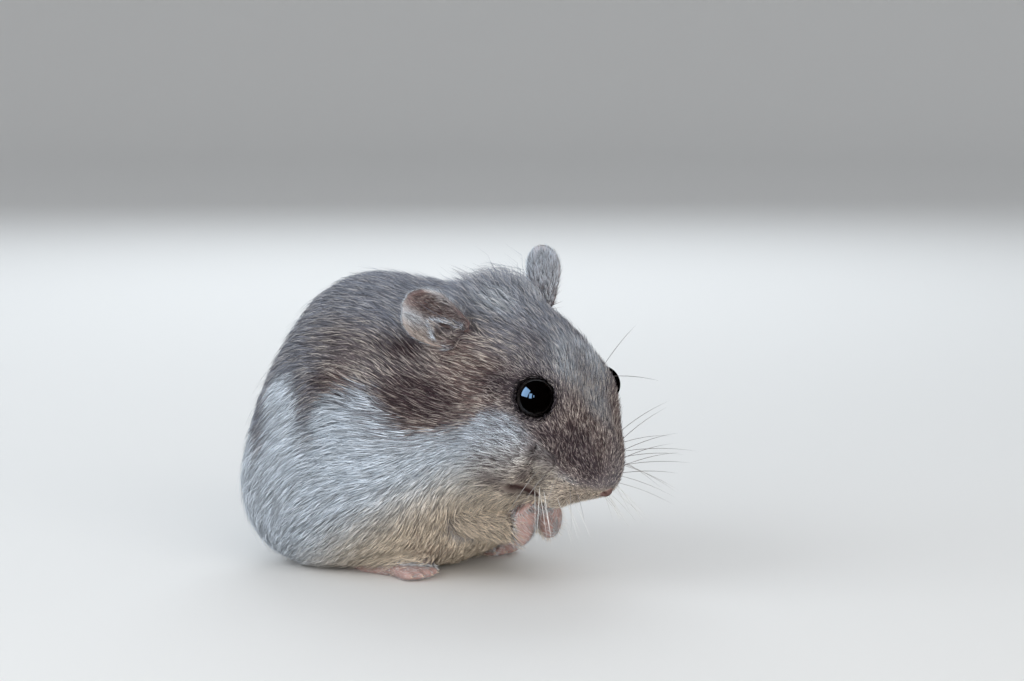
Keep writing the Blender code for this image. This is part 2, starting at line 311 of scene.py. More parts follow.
def from_eyes(points):
    """How far each point is from the middle of the nearer eye."""
    return np.min([span(points, eye) for eye in EYES.values()], axis=0)


print("a soft step:", step(np.linspace(0, 1, 5), 0, 1).round(2))

# %% [markdown]
# ## Floor and light
#
# A museum photographs a model on a plain pale sweep: a floor that rises into a wall all round, with
# no edge between them. The light is that of a window of three panes at the left, each a soft area
# lamp, placed by the way to it from the near eye. Lamps behind and before the animal and a pale sky
# lift the rest. Glossy rays pass the sweep and the sky by, because a wet eye should show the window
# alone.

# %% Floor and light
SWEEP_FLAT = 0.9                  # metres: the flat floor's radius, the bend's, and the wall's top
SWEEP_BEND = 0.8
SWEEP_TOP = 1.7
SWEEP_STEPS = 16
SWEEP_COLOUR = (0.80, 0.78, 0.75)
PANES = (                         # the way to each pane, and its size in metres
    ((-0.548, -0.681, 0.487), (0.42, 0.38)),
    ((0.038, -0.951, 0.307), (0.15, 0.24)),
    ((0.378, -0.878, 0.294), (0.04, 0.11)),
)
PANE_DISTANCE = 520.0
PANE_LIGHT = 2.4                  # radiance
PANE_COLOUR = (0.84, 0.92, 1.0)
BACK_PLACE = (-260, 330, 330)
BACK_SIZE = (0.4, 0.4)
BACK_LIGHT = 2.3
FILLS = {                         # soft lamps that no gloss shows: the way, the size and the radiance
    "fill_front": ((0.85, -0.45, 0.28), (0.55, 0.5), 2.0),
    "fill_low": ((0.40, -0.91, 0.05), (0.6, 0.22), 2.2),
}
FILL_COLOUR = (1.0, 0.96, 0.92)
SKY_COLOUR = (0.80, 0.86, 0.94)
SKY_STRENGTH = 0.66

profile = bmesh.new()
angles = [math.pi / 2 * number / SWEEP_STEPS for number in range(SWEEP_STEPS + 1)]
outline = [(0.0, 0.0)] + [
    (SWEEP_FLAT + SWEEP_BEND * math.sin(angle), SWEEP_BEND * (1 - math.cos(angle))) for angle in angles
] + [(SWEEP_FLAT + SWEEP_BEND, SWEEP_TOP)]
corners = [profile.verts.new((radius, 0, height)) for radius, height in outline]
for first, second in zip(corners, corners[1:]):
    profile.edges.new((first, second))
bmesh.ops.spin(
    profile, geom=profile.verts[:] + profile.edges[:], cent=(0, 0, 0), axis=(0, 0, 1),
    angle=math.tau, steps=96, use_merge=True,
)
bmesh.ops.remove_doubles(profile, verts=profile.verts, dist=1e-5)
bmesh.ops.recalc_face_normals(profile, faces=profile.faces)
if profile.faces[0].normal.z < 0:
    bmesh.ops.reverse_faces(profile, faces=profile.faces)
sweep = link("sweep", closed(profile, "sweep"))
sweep.data.shade_smooth()
sweep.visible_glossy = False
paper, paper_shader, paper_wire = finish_of("pale_paper", base_color=(*SWEEP_COLOUR, 1.0), roughness=0.9)
grain = paper_wire.node("ShaderNodeTexNoise", {}, {"Scale": 240.0, "Detail": 3.0})
plug(paper_wire.node("ShaderNodeBump", {}, {"Strength": 0.04, "Height": grain}), paper_shader, "Normal")
sweep.data.materials.append(paper)


def soft_light(name, place, aim, size, radiance, colour):
    """A rectangular lamp at a place, both in millimetres, that faces its aim."""
    lamp = bpy.data.lights.new(name, "AREA")
    lamp.shape, lamp.size, lamp.size_y = "RECTANGLE", *size
    lamp.energy, lamp.color = radiance * math.pi * size[0] * size[1], colour
    holder = link(name, lamp)
    holder.location = Vector(place) * MM
    holder.rotation_mode = "QUATERNION"
    holder.rotation_quaternion = (Vector(aim) - Vector(place)).to_track_quat("-Z", "Y")
    return holder


def window(name, distance, radiance, colour):
    """The panes of the window, as lamps at a distance from the near eye."""
    return [
        soft_light(f"{name}_{number}", NEAR_EYE + Vector(way) * distance, NEAR_EYE, size, radiance, colour)
        for number, (way, size) in enumerate(PANES, 1)
    ]


window("pane", PANE_DISTANCE, PANE_LIGHT, PANE_COLOUR)
soft_light("back", BACK_PLACE, (0, 0, 30), BACK_SIZE, BACK_LIGHT, PANE_COLOUR)
for name, (way, size, radiance) in FILLS.items():
    fill = soft_light(name, NEAR_EYE + Vector(way) * PANE_DISTANCE, NEAR_EYE, size, radiance, FILL_COLOUR)
    fill.visible_glossy = False
sky = bpy.data.worlds.new("sky")
bpy.context.scene.world = sky
sky.use_nodes = True
sky.node_tree.nodes["Background"].inputs["Color"].default_value = (*SKY_COLOUR, 1.0)
sky.node_tree.nodes["Background"].inputs["Strength"].default_value = SKY_STRENGTH
sky.cycles_visibility.glossy = False
bpy.context.scene.view_settings.view_transform = "Standard"

# %% [markdown]
# ## Ears in their own frame
#
# A hamster's ear is a thin leaf, hollow on one side. Each is placed by its root, its reach and the way
# its hollow faces, and has a frame of its own, so that one list of bends, and later one of markings,
# does for both. The solid leaf gets a rounder rim here, and an ellipsoid closes its root.

# %% Ears
EARS = {  # root in the head's frame; tip from the root, the way the hollow faces, and the leaf's width
    "ear_right": {
        "root": (-14.8, -10.7, -1.4), "reach": (-7.7, -4.4, 5.9), "facing": (0.6, -0.78, 0.15), "width": 9.0,
    },
    "ear_left": {
        "root": (-16.8, 8.2, 1.0), "reach": (-2.4, 3.2, 9.2), "facing": (0.1, 0.97, -0.1), "width": 7.0,
    },
}
EAR_BENDS = (  # share of the length, share of the half width; reach; how far the leaf bends to its hollow
    ((0.92, 0.30), (0.26, 0.50), 1.0), ((0.50, -0.95), (0.40, 0.35), 0.8), ((0.55, 0.95), (0.40, 0.30), 0.7),
    ((0.45, -0.05), (0.30, 0.40), -0.5),
)
PLUG_PLACE = (-0.1, 0.0, 0.9)     # the filling at an ear's root: along, to the front, out of the hollow
PLUG_SIZE = (1.7, 2.4, 1.7)


def ear_axes(name):
    """An ear's root, and its three axes: along it, to its front rim, and out of its hollow."""
    ear = EARS[name]
    along = unit(np.array(ear["reach"]))
    facing = np.array(ear["facing"])
    facing = unit(facing - facing @ along * along)
    front = np.cross(along, facing)
    front *= np.sign(front[0])
    return in_head(ear["root"]), np.stack((along, front, facing))


def ear_coords(points, name):
    """Points in an ear's frame: shares of its length and half width, and millimetres out of its hollow."""
    root, axes = ear_axes(name)
    ear = EARS[name]
    return (points - root) @ axes.T / (np.linalg.norm(ear["reach"]), ear["width"] / 2, 1)


def ear_plug(name):
    """An ellipsoid that fills the root of an ear, so that its hollow ends in a floor."""
    root, axes = ear_axes(name)
    turn = Matrix(axes.T.tolist()).to_4x4()
    place = Matrix.Translation(Vector(root + np.array(PLUG_PLACE) @ axes) * MM)
    filling = bmesh.new()
    matrix = place @ turn @ Matrix.Diagonal((*(np.array(PLUG_SIZE) * MM), 1))
    bmesh.ops.create_icosphere(filling, subdivisions=3, radius=1, matrix=matrix)
    bmesh.ops.recalc_face_normals(filling, faces=filling.faces)
    return filling


def rounded_ear(part, name):
    """The ear's leaf with a rounder rim, its edges bent in over its hollow."""
    mesh = with_modifier(closed(part, name), "SUBSURF", levels=2, render_levels=2)
    points = points_of(mesh)
    bend = sum(amount * bump_at(ear_coords(points, name)[:, :2], *spot) for *spot, amount in EAR_BENDS)
    put_points(mesh, points + ear_axes(name)[1][2] * bend[:, None])
    return opened(mesh)


print("ears:", {name: round(float(np.linalg.norm(ear["reach"])), 1) for name, ear in EARS.items()}, "mm long")

# %% [markdown]
# ## Skin, part one: one hide over all the solids
#
# The solids stand 0.35 mm apart, as the parts of an assembly do. A living animal has one hide. Each
# solid's copy is swollen a little so that the gaps close, a rolled ring is spun round each eye for
# the lids, each ear's root gets a filling, and a voxel remesh then wraps everything in one even mesh.
# Shrink-wrapping a sphere would web the gap under the chin and lose the fingers, so the remesh is
# the better way.

# %% Wrap the solids
FLESH = sorted(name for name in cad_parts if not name.startswith("eye_"))
SWELL = 0.22
WELD = 0.001
VOXEL = 0.25
EYE_WAY = (0.30, 0.88, 0.36)      # the way the left eye looks, in the head's frame
LID_FORWARD = 0.25                # the lids' ring, in front of the eyeball's middle
LID_RING = 3.22                   # its radius, and that of its roll
LID_ROLL = 0.42
LID_STEPS = 48


def flesh_copy(name):
    """A bmesh of one solid, welded and swollen."""
    part = opened(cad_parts[name].data)
    bmesh.ops.remove_doubles(part, verts=part.verts, dist=WELD * MM)
    if name in EARS:
        part = rounded_ear(part, name)
    part.normal_update()
    for vert in part.verts:
        vert.co += vert.normal * SWELL * MM
    return part


def gaze(side):
    """The way that one eye looks."""
    return Vector(HEAD_TURN @ (np.array(EYE_WAY) * (1, SIDES[side], 1))).normalized()


def lid_ring(side):
    """A rolled ring that hugs one eyeball."""
    way = gaze(side)
    across = way.orthogonal().normalized()
    middle = Vector(EYES[side]) + way * LID_FORWARD
    ring = bmesh.new()
    profile = bmesh.ops.create_circle(ring, segments=12, radius=(LID_ROLL + SWELL) * MM)["verts"]
    stand = Matrix((across, way, across.cross(way))).transposed().to_4x4()
    stand = Matrix.Translation((middle + across * LID_RING) * MM) @ stand
    bmesh.ops.transform(ring, matrix=stand, verts=profile)
    bmesh.ops.spin(
        ring, geom=list(ring.verts) + list(ring.edges), cent=middle * MM, axis=way,
        angle=math.tau, steps=LID_STEPS, use_merge=True,
    )
    bmesh.ops.remove_doubles(ring, verts=ring.verts, dist=WELD * MM)
    bmesh.ops.recalc_face_normals(ring, faces=ring.faces)
    return ring


body = bmesh.new()
parts = [flesh_copy(name) for name in FLESH] + [lid_ring(side) for side in SIDES]
for part in parts + [ear_plug(name) for name in EARS]:
    body.from_mesh(closed(part, "part"))
hide = with_modifier(closed(body, "hide"), "REMESH", mode="VOXEL", voxel_size=VOXEL * MM)
print("wrapped:", len(hide.vertices), "points")

# %% [markdown]
# ## Skin, part two: leave room for the coat
#
# The solids reach to the tips of the coat, so the skin lies deeper, by the coat's depth: next to
# nothing on the ears and fingers, a few tenths on the face, nearly two millimetres on the flank. Hair
# is shortest at the nose and gets longer backwards, so the depth grows with the distance from the
# nose. On a bare part the hair's length counts as zero. The map of depths is smoothed before the skin
# moves in.

# %% Measure the coat's depth
BARE = ("ear_left", "ear_right", "forepaw_left", "forepaw_right", "hind_foot_left", "hind_foot_right")
NOSE = in_head(NOSE_TIP)
NOSE_PAD = in_head((15.9, 0.0, -6.9))
NOSE_PAD_REACH = 1.3
MOUTH = (  # the left half of the mouth and the bare lip behind its corner: middle and reach
    ((20.2, 8.9, 15.7), (1.0, 1.4, 1.0)), ((20.6, 8.3, 15.8), (1.9, 2.3, 1.4)),
    ((22.1, 6.4, 14.9), (2.1, 2.2, 1.4)), ((24.5, 5.4, 14.0), (2.4, 1.5, 0.9)),
)
COAT_REACH = (0, 4, 9, 15, 22, 30, 42, 70)              # distances from the nose
COAT_LENGTH = (0.6, 1.0, 1.5, 2.1, 3.0, 4.2, 5.8, 6.4)  # hair length at each
DEPTH_SHARE = 0.29                                      # the coat's depth for each length of hair
LIMB_LENGTH = {"foreleg": 2.4, "lower_jaw": 1.2, "tail": 1.6}
LID_CLEAR = 4.2                                         # this near to an eyeball the coat thins out
LID_SHARE = 0.35                                        # to this share of its length
MOUTH_SHARE = 0.3                                       # and in the mouth to this one


def flesh_map():
    """A search tree over the solids' faces, and the solid that each face is of."""
    places, faces, owners = [], [], []
    for name in FLESH:
        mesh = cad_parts[name].data
        start = len(places)
        places += [vert.co / MM for vert in mesh.vertices]
        faces += [[start + i for i in face.vertices] for face in mesh.polygons]
        owners += [name] * len(mesh.polygons)
    return BVHTree.FromPolygons(places, faces), owners


flesh_tree, flesh_owner = flesh_map()


def owners_of(points):
    """The name of the nearest solid to each point."""
    return np.array([flesh_owner[flesh_tree.find_nearest(point)[2]] for point in points.tolist()])


def mirrored(points):
    """The points with those of the right side thrown over to the left."""
    return np.column_stack((points[:, 0], np.abs(points[:, 1]), points[:, 2]))


def mouth_at(points):
    """1 in the mouth and 0 away from it."""
    return np.clip(sum(bump_at(mirrored(points), middle, reach) for middle, reach in MOUTH), 0, 1)


def is_bare(points, owner):
    """Whether points of the skin are on a bare part: ears, hands, feet and the pad of the nose."""
    return np.isin(owner, BARE) | (span(points, NOSE_PAD) < NOSE_PAD_REACH)


def hair_length(points, owner):
    """How long the coat is at points of the skin."""
    length = np.interp(span(points, NOSE), COAT_REACH, COAT_LENGTH)
    for name, most in LIMB_LENGTH.items():
        length = np.where(np.char.startswith(owner, name), np.minimum(length, most), length)
    length *= LID_SHARE + (1 - LID_SHARE) * step(from_eyes(points), EYE_RADIUS, EYE_RADIUS + LID_CLEAR)
    length *= 1 - (1 - MOUTH_SHARE) * mouth_at(points)
    return np.where(is_bare(points, owner), 0.0, length)


print("hair from", COAT_LENGTH[0], "to", COAT_LENGTH[-1], "mm long")

# %% [markdown]
# ## Skin, part three: sink it by that depth
#
# A remesh can leave loose shells inside the hide, round pockets that it closes off. Only the largest
# island is kept. The skin then moves in along its normals in a few steps, so that the normals can
# follow, and is smoothed where nothing fine shows.

# %% Sink the skin
DEPTH_ROUNDS, BARE_ROUNDS, EAR_ROUNDS, SKIN_ROUNDS = 24, 4, 3, 8  # rounds of smoothing
EAR_DEPTH = 0.08                   # the down's depth on the ears
NOSE_FINE = 9.0                    # the skin keeps all its points this near to the nose's tip
LID_FINE = 2.0                     # and this near to an eyeball
SINK_STEPS = 3


def island(mesh):
    """The largest island of a mesh, without loose shells."""
    shell = opened(mesh)
    seen, best = set(), []
    for seed in shell.verts:
        if seed in seen:
            continue
        group, front = [seed], [seed]
        seen.add(seed)
        while front:
            vert = front.pop()
            for edge in vert.link_edges:
                other = edge.other_vert(vert)
                if other not in seen:
                    seen.add(other)
                    group.append(other)
                    front.append(other)
        best = max(best, group, key=len)
    kept = set(best)
    bmesh.ops.delete(shell, geom=[vert for vert in shell.verts if vert not in kept], context="VERTS")
    return closed(shell, "hide")


hide = island(hide)
points = points_of(hide)
edges = edges_of(hide)
normals = normals_of(hide)
owner = owners_of(points)
depth = smoothed(hair_length(points, owner) * DEPTH_SHARE, edges, DEPTH_ROUNDS)
bare = smoothed(is_bare(points, owner), edges, BARE_ROUNDS)
on_ear = smoothed(np.char.startswith(owner, "ear"), edges, EAR_ROUNDS)
depth += EAR_DEPTH * on_ear
fine = is_bare(points, owner) | (span(points, NOSE) < NOSE_FINE)
fine |= from_eyes(points) < EYE_RADIUS + LID_FINE
for _ in range(SINK_STEPS):
    points -= normals * ((SWELL + depth) / SINK_STEPS)[:, None]
    put_points(hide, points)
    normals = normals_of(hide)
even = smoothed(points, edges, SKIN_ROUNDS)
points += (even - points) * np.clip(1 - fine - bare + on_ear, 0, 1)[:, None]
put_points(hide, smoothed(points, edges, 1))
print("skin lies", depth.max().round(2), "mm deep at most, on", len(points), "points")

# %% [markdown]
# ## Skin, part four: keep the points where they show
#
# Under the thick coat the skin's points are wasted, so a Decimate with a vertex group thins them
# there. Nose, lids, ears, hands and feet keep theirs, and nose and lids get more: their edges are
# cut in two before the small forms are pressed in.

# %% Thin the covered skin, refine the bare
COVERED_SHARE = 0.45
NOSTRILS, NOSTRILS_REACH = in_head((14.2, 0, -6.4)), 3.4
LID_REFINED = 1.1


def refine(mesh, chosen):
    """The mesh with the edges between chosen points cut in two."""
    shell = opened(mesh)
    cut = [edge for edge in shell.edges if chosen[edge.verts[0].index] and chosen[edge.verts[1].index]]
    bmesh.ops.subdivide_edges(shell, edges=cut, cuts=1, use_grid_fill=True, smooth=0.4)
    bmesh.ops.triangulate(shell, faces=[face for face in shell.faces if len(face.verts) > 4])
    return closed(shell, "hide")


hide = with_modifier(hide, "DECIMATE", ~fine, ratio=COVERED_SHARE)
points = points_of(hide)
small_forms = (span(points, NOSTRILS) < NOSTRILS_REACH) | (from_eyes(points) < EYE_RADIUS + LID_REFINED)
hide = refine(hide, small_forms)
print("thinned:", len(hide.vertices), "points,", len(hide.polygons), "faces")

# %% [markdown]
# ## Skin, part five: press in the small forms
#
# A sculptor would now press nostrils, mouth and folds into the clay. In code that is a move of the
# points along their normals, by an amount that falls off softly round a place.

# %% Nostrils, mouth and folds
PRESSES = (  # middle in the head's frame, reach, how deep; each is mirrored
    ("nostril", (15.55, 1.0, -6.7), (0.5, 0.42, 0.36), 0.8),
    ("nostril_wing", (15.2, 1.6, -7.2), (0.6, 0.35, 0.6), 0.3),
    ("philtrum", (14.9, 0.0, -8.2), (0.9, 0.22, 0.9), 0.5),
    ("pad", (10.6, 6.4, -8.4), (2.6, 2.0, 2.4), -1.4),
    ("pad_low", (10.9, 5.6, -10.4), (2.4, 2.2, 1.8), -1.4),
    ("fold_top", (5.6, 9.4, -5.2), (0.7, 1.6, 1.2), 1.3),
    ("fold_middle", (6.4, 9.7, -7.5), (0.7, 1.6, 1.3), 1.6),
    ("fold_low", (7.6, 9.0, -9.8), (0.8, 1.6, 1.3), 1.4),
    ("fold_branch", (7.9, 8.5, -5.8), (1.2, 1.5, 0.7), 1.3),
    ("ridge_top", (4.3, 10.4, -6.4), (0.9, 1.6, 1.5), -0.8),
    ("ridge_low", (5.4, 11.0, -10.4), (1.3, 1.6, 1.9), -0.9),
    ("mouth_back", (5.8, 10.6, -13.6), (1.2, 1.8, 0.8), 1.1),
    ("mouth_middle", (7.2, 9.0, -14.0), (1.4, 1.8, 0.9), 1.4),
    ("mouth_front", (8.2, 6.5, -14.8), (1.8, 1.8, 0.8), 1.0),
)
EAR_PRESSES = (  # in an ear's frame: the passage into it, and the dip beside that
    ((0.08, 0.12), (0.13, 0.24), 1.1), ((0.15, -0.30), (0.20, 0.28), 0.4),
)
EAR_INNER = (0.2, 0.6)             # faces that look this far out of the hollow are pressed
EAR_NEAR = 3.0                     # when they are this near to the leaf


def pressed(points, normals):
    """Points with the small forms pressed in."""
    places = head_coords(points)
    moved = points.copy()
    for _, middle, reach, amount in PRESSES:
        for side in (1, -1) if middle[1] else (1,):
            fall = bump_at(places, np.array(middle) * (1, side, 1), reach)
            moved -= normals * (amount * fall)[:, None]
    for name in EARS:
        leaf = ear_coords(points, name)
        hollow = step(normals @ ear_axes(name)[1][2], *EAR_INNER) * (np.abs(leaf[:, 2]) < EAR_NEAR)
        for middle, reach, amount in EAR_PRESSES:
            fall = bump_at(leaf[:, :2], middle, reach) * hollow
            moved -= normals * (amount * fall)[:, None]
    return moved


points = pressed(points_of(hide), normals_of(hide))
put_points(hide, points)
skin = link("skin", hide)
skin.data.shade_smooth()
print("pressed in:", [name for name, *_ in PRESSES])

# %% [markdown]
# ## Markings
#
# The coat has a slate saddle over a pale side. Its edge swings in arches along the flank, with a
# dark wedge between each two. Brown washes the shoulder and the face, cream the cheeks and chest. A
# few short dark strokes along the fold between cheek and whisker pad, and a dark spot at the pad's
# whorl, are painted crease shade. The skin and every lock ask the same function, so they always
# agree. It gives four masks, each from 0 to 1, and the materials turn these into colour.

# %% Markings
SADDLE_EDGE = np.array((
    (-60, 24), (-29, 22.5), (-24.5, 19), (-20.5, 16.5), (-21.3, 22), (-23.5, 27), (-21.5, 29.8),
    (-18.3, 29.8), (-15, 27), (-12, 22.5), (-10.2, 18.2), (-10.2, 22), (-10.8, 26), (-8.8, 28.9),
    (-4.8, 30.7), (-1.2, 31.0), (0.9, 29), (3, 26), (5.9, 23.8), (9.6, 24.2), (13, 25.2), (15.7, 26.4),
    (19, 28), (21.5, 27), (23.5, 24.8), (26.4, 21.5), (27.6, 18.5), (29.5, 16.8), (31.5, 15.8), (60, 14),
))
SADDLE_SOFTNESS = (-0.5, 0.9)          # the saddle comes in between these heights over its edge
CREAM_SOFTNESS = (-5.0, 6.0)           # and the cream between these depths under its own
BROWN_LEAST = 0.18                     # a little brown is everywhere
CREAM_EDGE = ((-30, -8), (-12, 2), (-0.2, 10), (8.3, 14.5), (18, 20.5), (30, 23))
BROWN = (  # middle, reach and strength; each is mirrored
    ((6, 18, 28), (9, 9, 6), 1.0), ((17, 12, 32), (7, 6, 5), 1.0), ((30, 5, 24), (9, 8, 9), 1.0),
    ((-6, 15, 36), (10, 6, 4), 0.5), ((-8, 17, 30.5), (4, 5, 3), 0.9), ((10, 12, 38), (6, 5, 4), 0.6),
    ((20, 11, 20), (7, 6, 4), 0.5),
)
TONES_AND_CREASE_SHADE = (  # darker where positive, paler where negative
    ((4.6, 18, 30.5), (5, 5, 4.6), 1.0), ((10, 16, 29.5), (5, 4, 3.6), 0.5),
    ((24.4, 8.1, 30), (4.6, 4.6, 4.6), 0.95), ((29.6, 6.0, 22.6), (3.6, 4, 3.6), 1.05),
    ((18, 11.5, 32.4), (5, 3, 2.4), 0.9), ((31.4, 4.4, 18.8), (1.9, 3, 1.9), 0.9),
    ((2.2, 13.7, 37.0), (5, 4, 2.2), 0.95), ((-10, 14, 37.4), (6, 4, 3), 0.5),
    ((-10, 17, 30), (4, 5, 3), 0.6), ((-12, 20, 24), (2.5, 3, 7), 0.4),
    ((17.4, 6.9, 40.4), (2, 2, 1.6), 0.1), ((27, 4.4, 34.4), (3.2, 2.8, 3.8), -0.95),
    ((19.6, 11.3, 29.3), (1.7, 2, 1.6), -0.5), ((24, 1.5, 38), (4, 4, 4), -0.45),
    ((28.0, 6.5, 16.4), (3.4, 3, 2.6), -1.1), ((30, 0, 29), (4, 4, 5), -0.6),
    # the four strokes below, along the fold between cheek and whisker pad and at the pad's whorl, are painted
    # crease shade
    ((24.2, 9.8, 21.6), (0.8, 1.8, 2.2), 1.15), ((26.4, 8.5, 20.7), (1.3, 1.6, 1.0), 1.3),
    ((22.6, 9.8, 18.0), (0.8, 1.8, 1.8), 1.2), ((26.4, 8.8, 24.3), (1.6, 1.8, 1.0), 0.8),
    ((22.4, 6.0, 37.8), (3.4, 2.8, 2.6), 0.55), ((12.6, 4.1, 43.6), (4, 4, 3), -0.7),
    ((18.2, 11.8, 17.2), (2.4, 2.4, 1.8), 0.85), ((9.6, 15.9, 29.6), (4, 3, 3), 0.4),
    ((12.4, 15.2, 25.3), (4, 3, 3), 0.4), ((20.5, 5.6, 41), (5, 5, 2.6), 0.3),
    ((21.7, 11.0, 20.6), (1.4, 1.8, 2.4), -1.0), ((26.4, 8.2, 18.4), (1.6, 2, 1.6), -0.5),
)


def above(places, line):
    """How far points of a plane lie above a folded line: positive above, negative below."""
    start, end = line[:-1], line[1:]
    along = end - start
    offset = places[:, None] - start
    share = np.clip((offset * along).sum(2) / (along**2).sum(1), 0, 1)
    away = np.linalg.norm(offset - share[..., None] * along, axis=2).min(1)
    crossed = (start[:, 0] <= places[:, None, 0]) != (end[:, 0] <= places[:, None, 0])
    level = start[:, 1] + along[:, 1] * offset[..., 0] / np.where(along[:, 0] == 0, 1, along[:, 0])
    under = (crossed & (level < places[:, None, 1])).sum(1) % 2 == 1
    return np.where(under, away, -away)


print("tones:", len(BROWN), "brown places,", len(TONES_AND_CREASE_SHADE), "dark or pale ones")

# %% [markdown]
# ## Markings on the ears
#
# An ear's hollow isn't of one tone: hair stands at its rims, and its floor is nearly bare and dusky. A
# few places in the ear's frame hold the four masks, and a point takes a mean of them, the near ones
# counting most. The back of the ear has one tone.

# %% Markings on the ears
EAR_HOLLOW = (  # share of the length, share of the half width, reach of both; saddle, brown, cream and depth
    ((0.76, -0.42), (0.20, 0.26), (0.0, 0.0, 0.0, 0.45)),
    ((0.70, 0.72), (0.36, 0.12), (0.0, 0.1, 0.2, 0.5)),
    ((0.45, -0.80), (0.45, 0.28), (0.4, 0.7, 1.0, 0.5)),
    ((0.84, 0.22), (0.24, 0.28), (1.0, 1.0, 1.0, 0.8)),
    ((0.15, 0.65), (0.32, 0.26), (1.0, 1.0, 0.5, 0.8)),
    ((1.02, -0.2), (0.06, 0.5), (0.2, 0.3, 0.5, 0.5)),
)
EAR_FLOOR = (0.9, 1.0, 1.0, 0.8)       # the rest of the hollow
EAR_FLOOR_WEIGHT = 0.12
EAR_BACK = (0.15, 0.1, 0.0, 0.5)
EAR_TURN = (-0.35, 0.15)               # how far a face looks out of the hollow, from its back to its floor


def ear_marks(points, normals, name):
    """The markings on an ear: several places in its hollow, and one tone on its back."""
    places = ear_coords(points, name)[:, :2]
    total = np.full((len(points), 1), EAR_FLOOR_WEIGHT)
    marks = total * np.array(EAR_FLOOR)
    for middle, reach, values in EAR_HOLLOW:
        weight = bump_at(places, middle, reach)[:, None]
        total = total + weight
        marks = marks + weight * np.array(values)
    inside = step(normals @ ear_axes(name)[1][2], *EAR_TURN)[:, None]
    return marks / total * inside + np.array(EAR_BACK) * (1 - inside)


print("places in an ear's hollow:", len(EAR_HOLLOW))

# %% [markdown]
# ## Marks on the skin
#
# The masks are worked out for every point of the skin and kept on it as a colour attribute. A second
# attribute says how bare it is, and how much of it is lid, ear or mouth, since these have colours of
# their own. The mouth's share paints the mouth and the passages into the ears near black: painted
# shade of these openings over the lips' own darker skin. The nose's pad takes a little of it as its
# own darker tone.

# %% Mark the skin
WHITE = (0.0, 0.1, 0.2, 0.5)           # hands, feet and tail
WHITE_PARTS = ("forepaw", "hind_foot", "tail")
TEAR_CORNER = (19.0, 11.3, 31.6)       # the dark corner behind the eye
TEAR_REACH = (1.3, 1.2, 0.55)
LID_EDGE = (0.6, 1.4)                  # the lids' dark fades out this far from the eyeball
NOSE_FLUSH = 0.75                      # how much of the mouth's colour the nose's pad takes
EAR_PALING = 0.6                       # how much pinker the dip beside the ear's passage is
MARK_ROUNDS, PART_ROUNDS = 2, 3        # rounds of smoothing


def markings(points, normals, owner):
    """Saddle, brown, cream and depth of tone (a half is neutral) at points of the world, with painted crease
    shade.
    """
    places = mirrored(points)
    saddle = np.concatenate([
        step(above(part[:, (0, 2)], SADDLE_EDGE), *SADDLE_SOFTNESS) for part in np.array_split(places, 16)
    ])
    brown = sum(strength * bump_at(places, middle, reach) for middle, reach, strength in BROWN)
    deep = sum(strength * bump_at(places, middle, reach) for middle, reach, strength in TONES_AND_CREASE_SHADE)
    level = np.interp(places[:, 0], *zip(*CREAM_EDGE))
    cream = step(level - places[:, 2], *CREAM_SOFTNESS)
    marks = np.clip(np.column_stack((saddle, BROWN_LEAST + brown, cream, 0.5 + deep / 2)), 0, 1)
    for name in EARS:
        chosen = owner == name
        marks[chosen] = ear_marks(points[chosen], normals[chosen], name)
    marks[[name.startswith(WHITE_PARTS) for name in owner]] = WHITE
    return marks


def put_attribute(mesh, name, values):
    """A colour attribute of four numbers on each point."""
    layer = mesh.attributes.new(name, "FLOAT_COLOR", "POINT")
    layer.data.foreach_set("color", values.astype(np.float32).ravel())


skin_points = points_of(skin.data)
skin_owner = owners_of(skin_points)
skin_edges = edges_of(skin.data)
skin_normals = normals_of(skin.data)
skin_marks = smoothed(markings(skin_points, skin_normals, skin_owner), skin_edges, MARK_ROUNDS)
put_attribute(skin.data, "marks", skin_marks)
skin_bare = smoothed(is_bare(skin_points, skin_owner), skin_edges, PART_ROUNDS)
lid = 1 - step(from_eyes(skin_points) - EYE_RADIUS, *LID_EDGE)
lid = np.maximum(lid, bump_at(mirrored(skin_points), TEAR_CORNER, TEAR_REACH))
ear = smoothed(np.char.startswith(skin_owner, "ear"), skin_edges, PART_ROUNDS)
# mouth and ear passages are painted near black: painted shade of these openings over the lips' own darker
# skin; the nose's pad takes some as its own darker tone
dark_skin_and_shade = np.maximum(mouth_at(skin_points), NOSE_FLUSH * (span(skin_points, NOSE_PAD) < NOSE_PAD_REACH))
for name in EARS:
    places = ear_coords(skin_points, name)[:, :2]
    chosen = skin_owner == name
    # the passage into the ear: painted shade in that recess
    dark_skin_and_shade = np.maximum(dark_skin_and_shade, bump_at(places, *EAR_PRESSES[0][:2]) * chosen)
    ear *= 1 - EAR_PALING * bump_at(places, *EAR_PRESSES[1][:2]) * chosen
dark_skin_and_shade = smoothed(dark_skin_and_shade, skin_edges, MARK_ROUNDS)
put_attribute(skin.data, "parts", np.column_stack((skin_bare, lid, ear, dark_skin_and_shade)))
print("marked:", len(skin_points), "points")

# %% [markdown]
# ## Colours and the skin's finish
#
# The pale hair is a bluish white, the saddle a slate with brown and dark tones in it, and the bare
# skin pink. The colours are kept in one table, as plain reflectances. Under the coat the skin goes
# over to the dark of the hair's roots, so that no bright gap shows between the locks: partly the
# roots' own colour, partly painted shade deep in the coat.

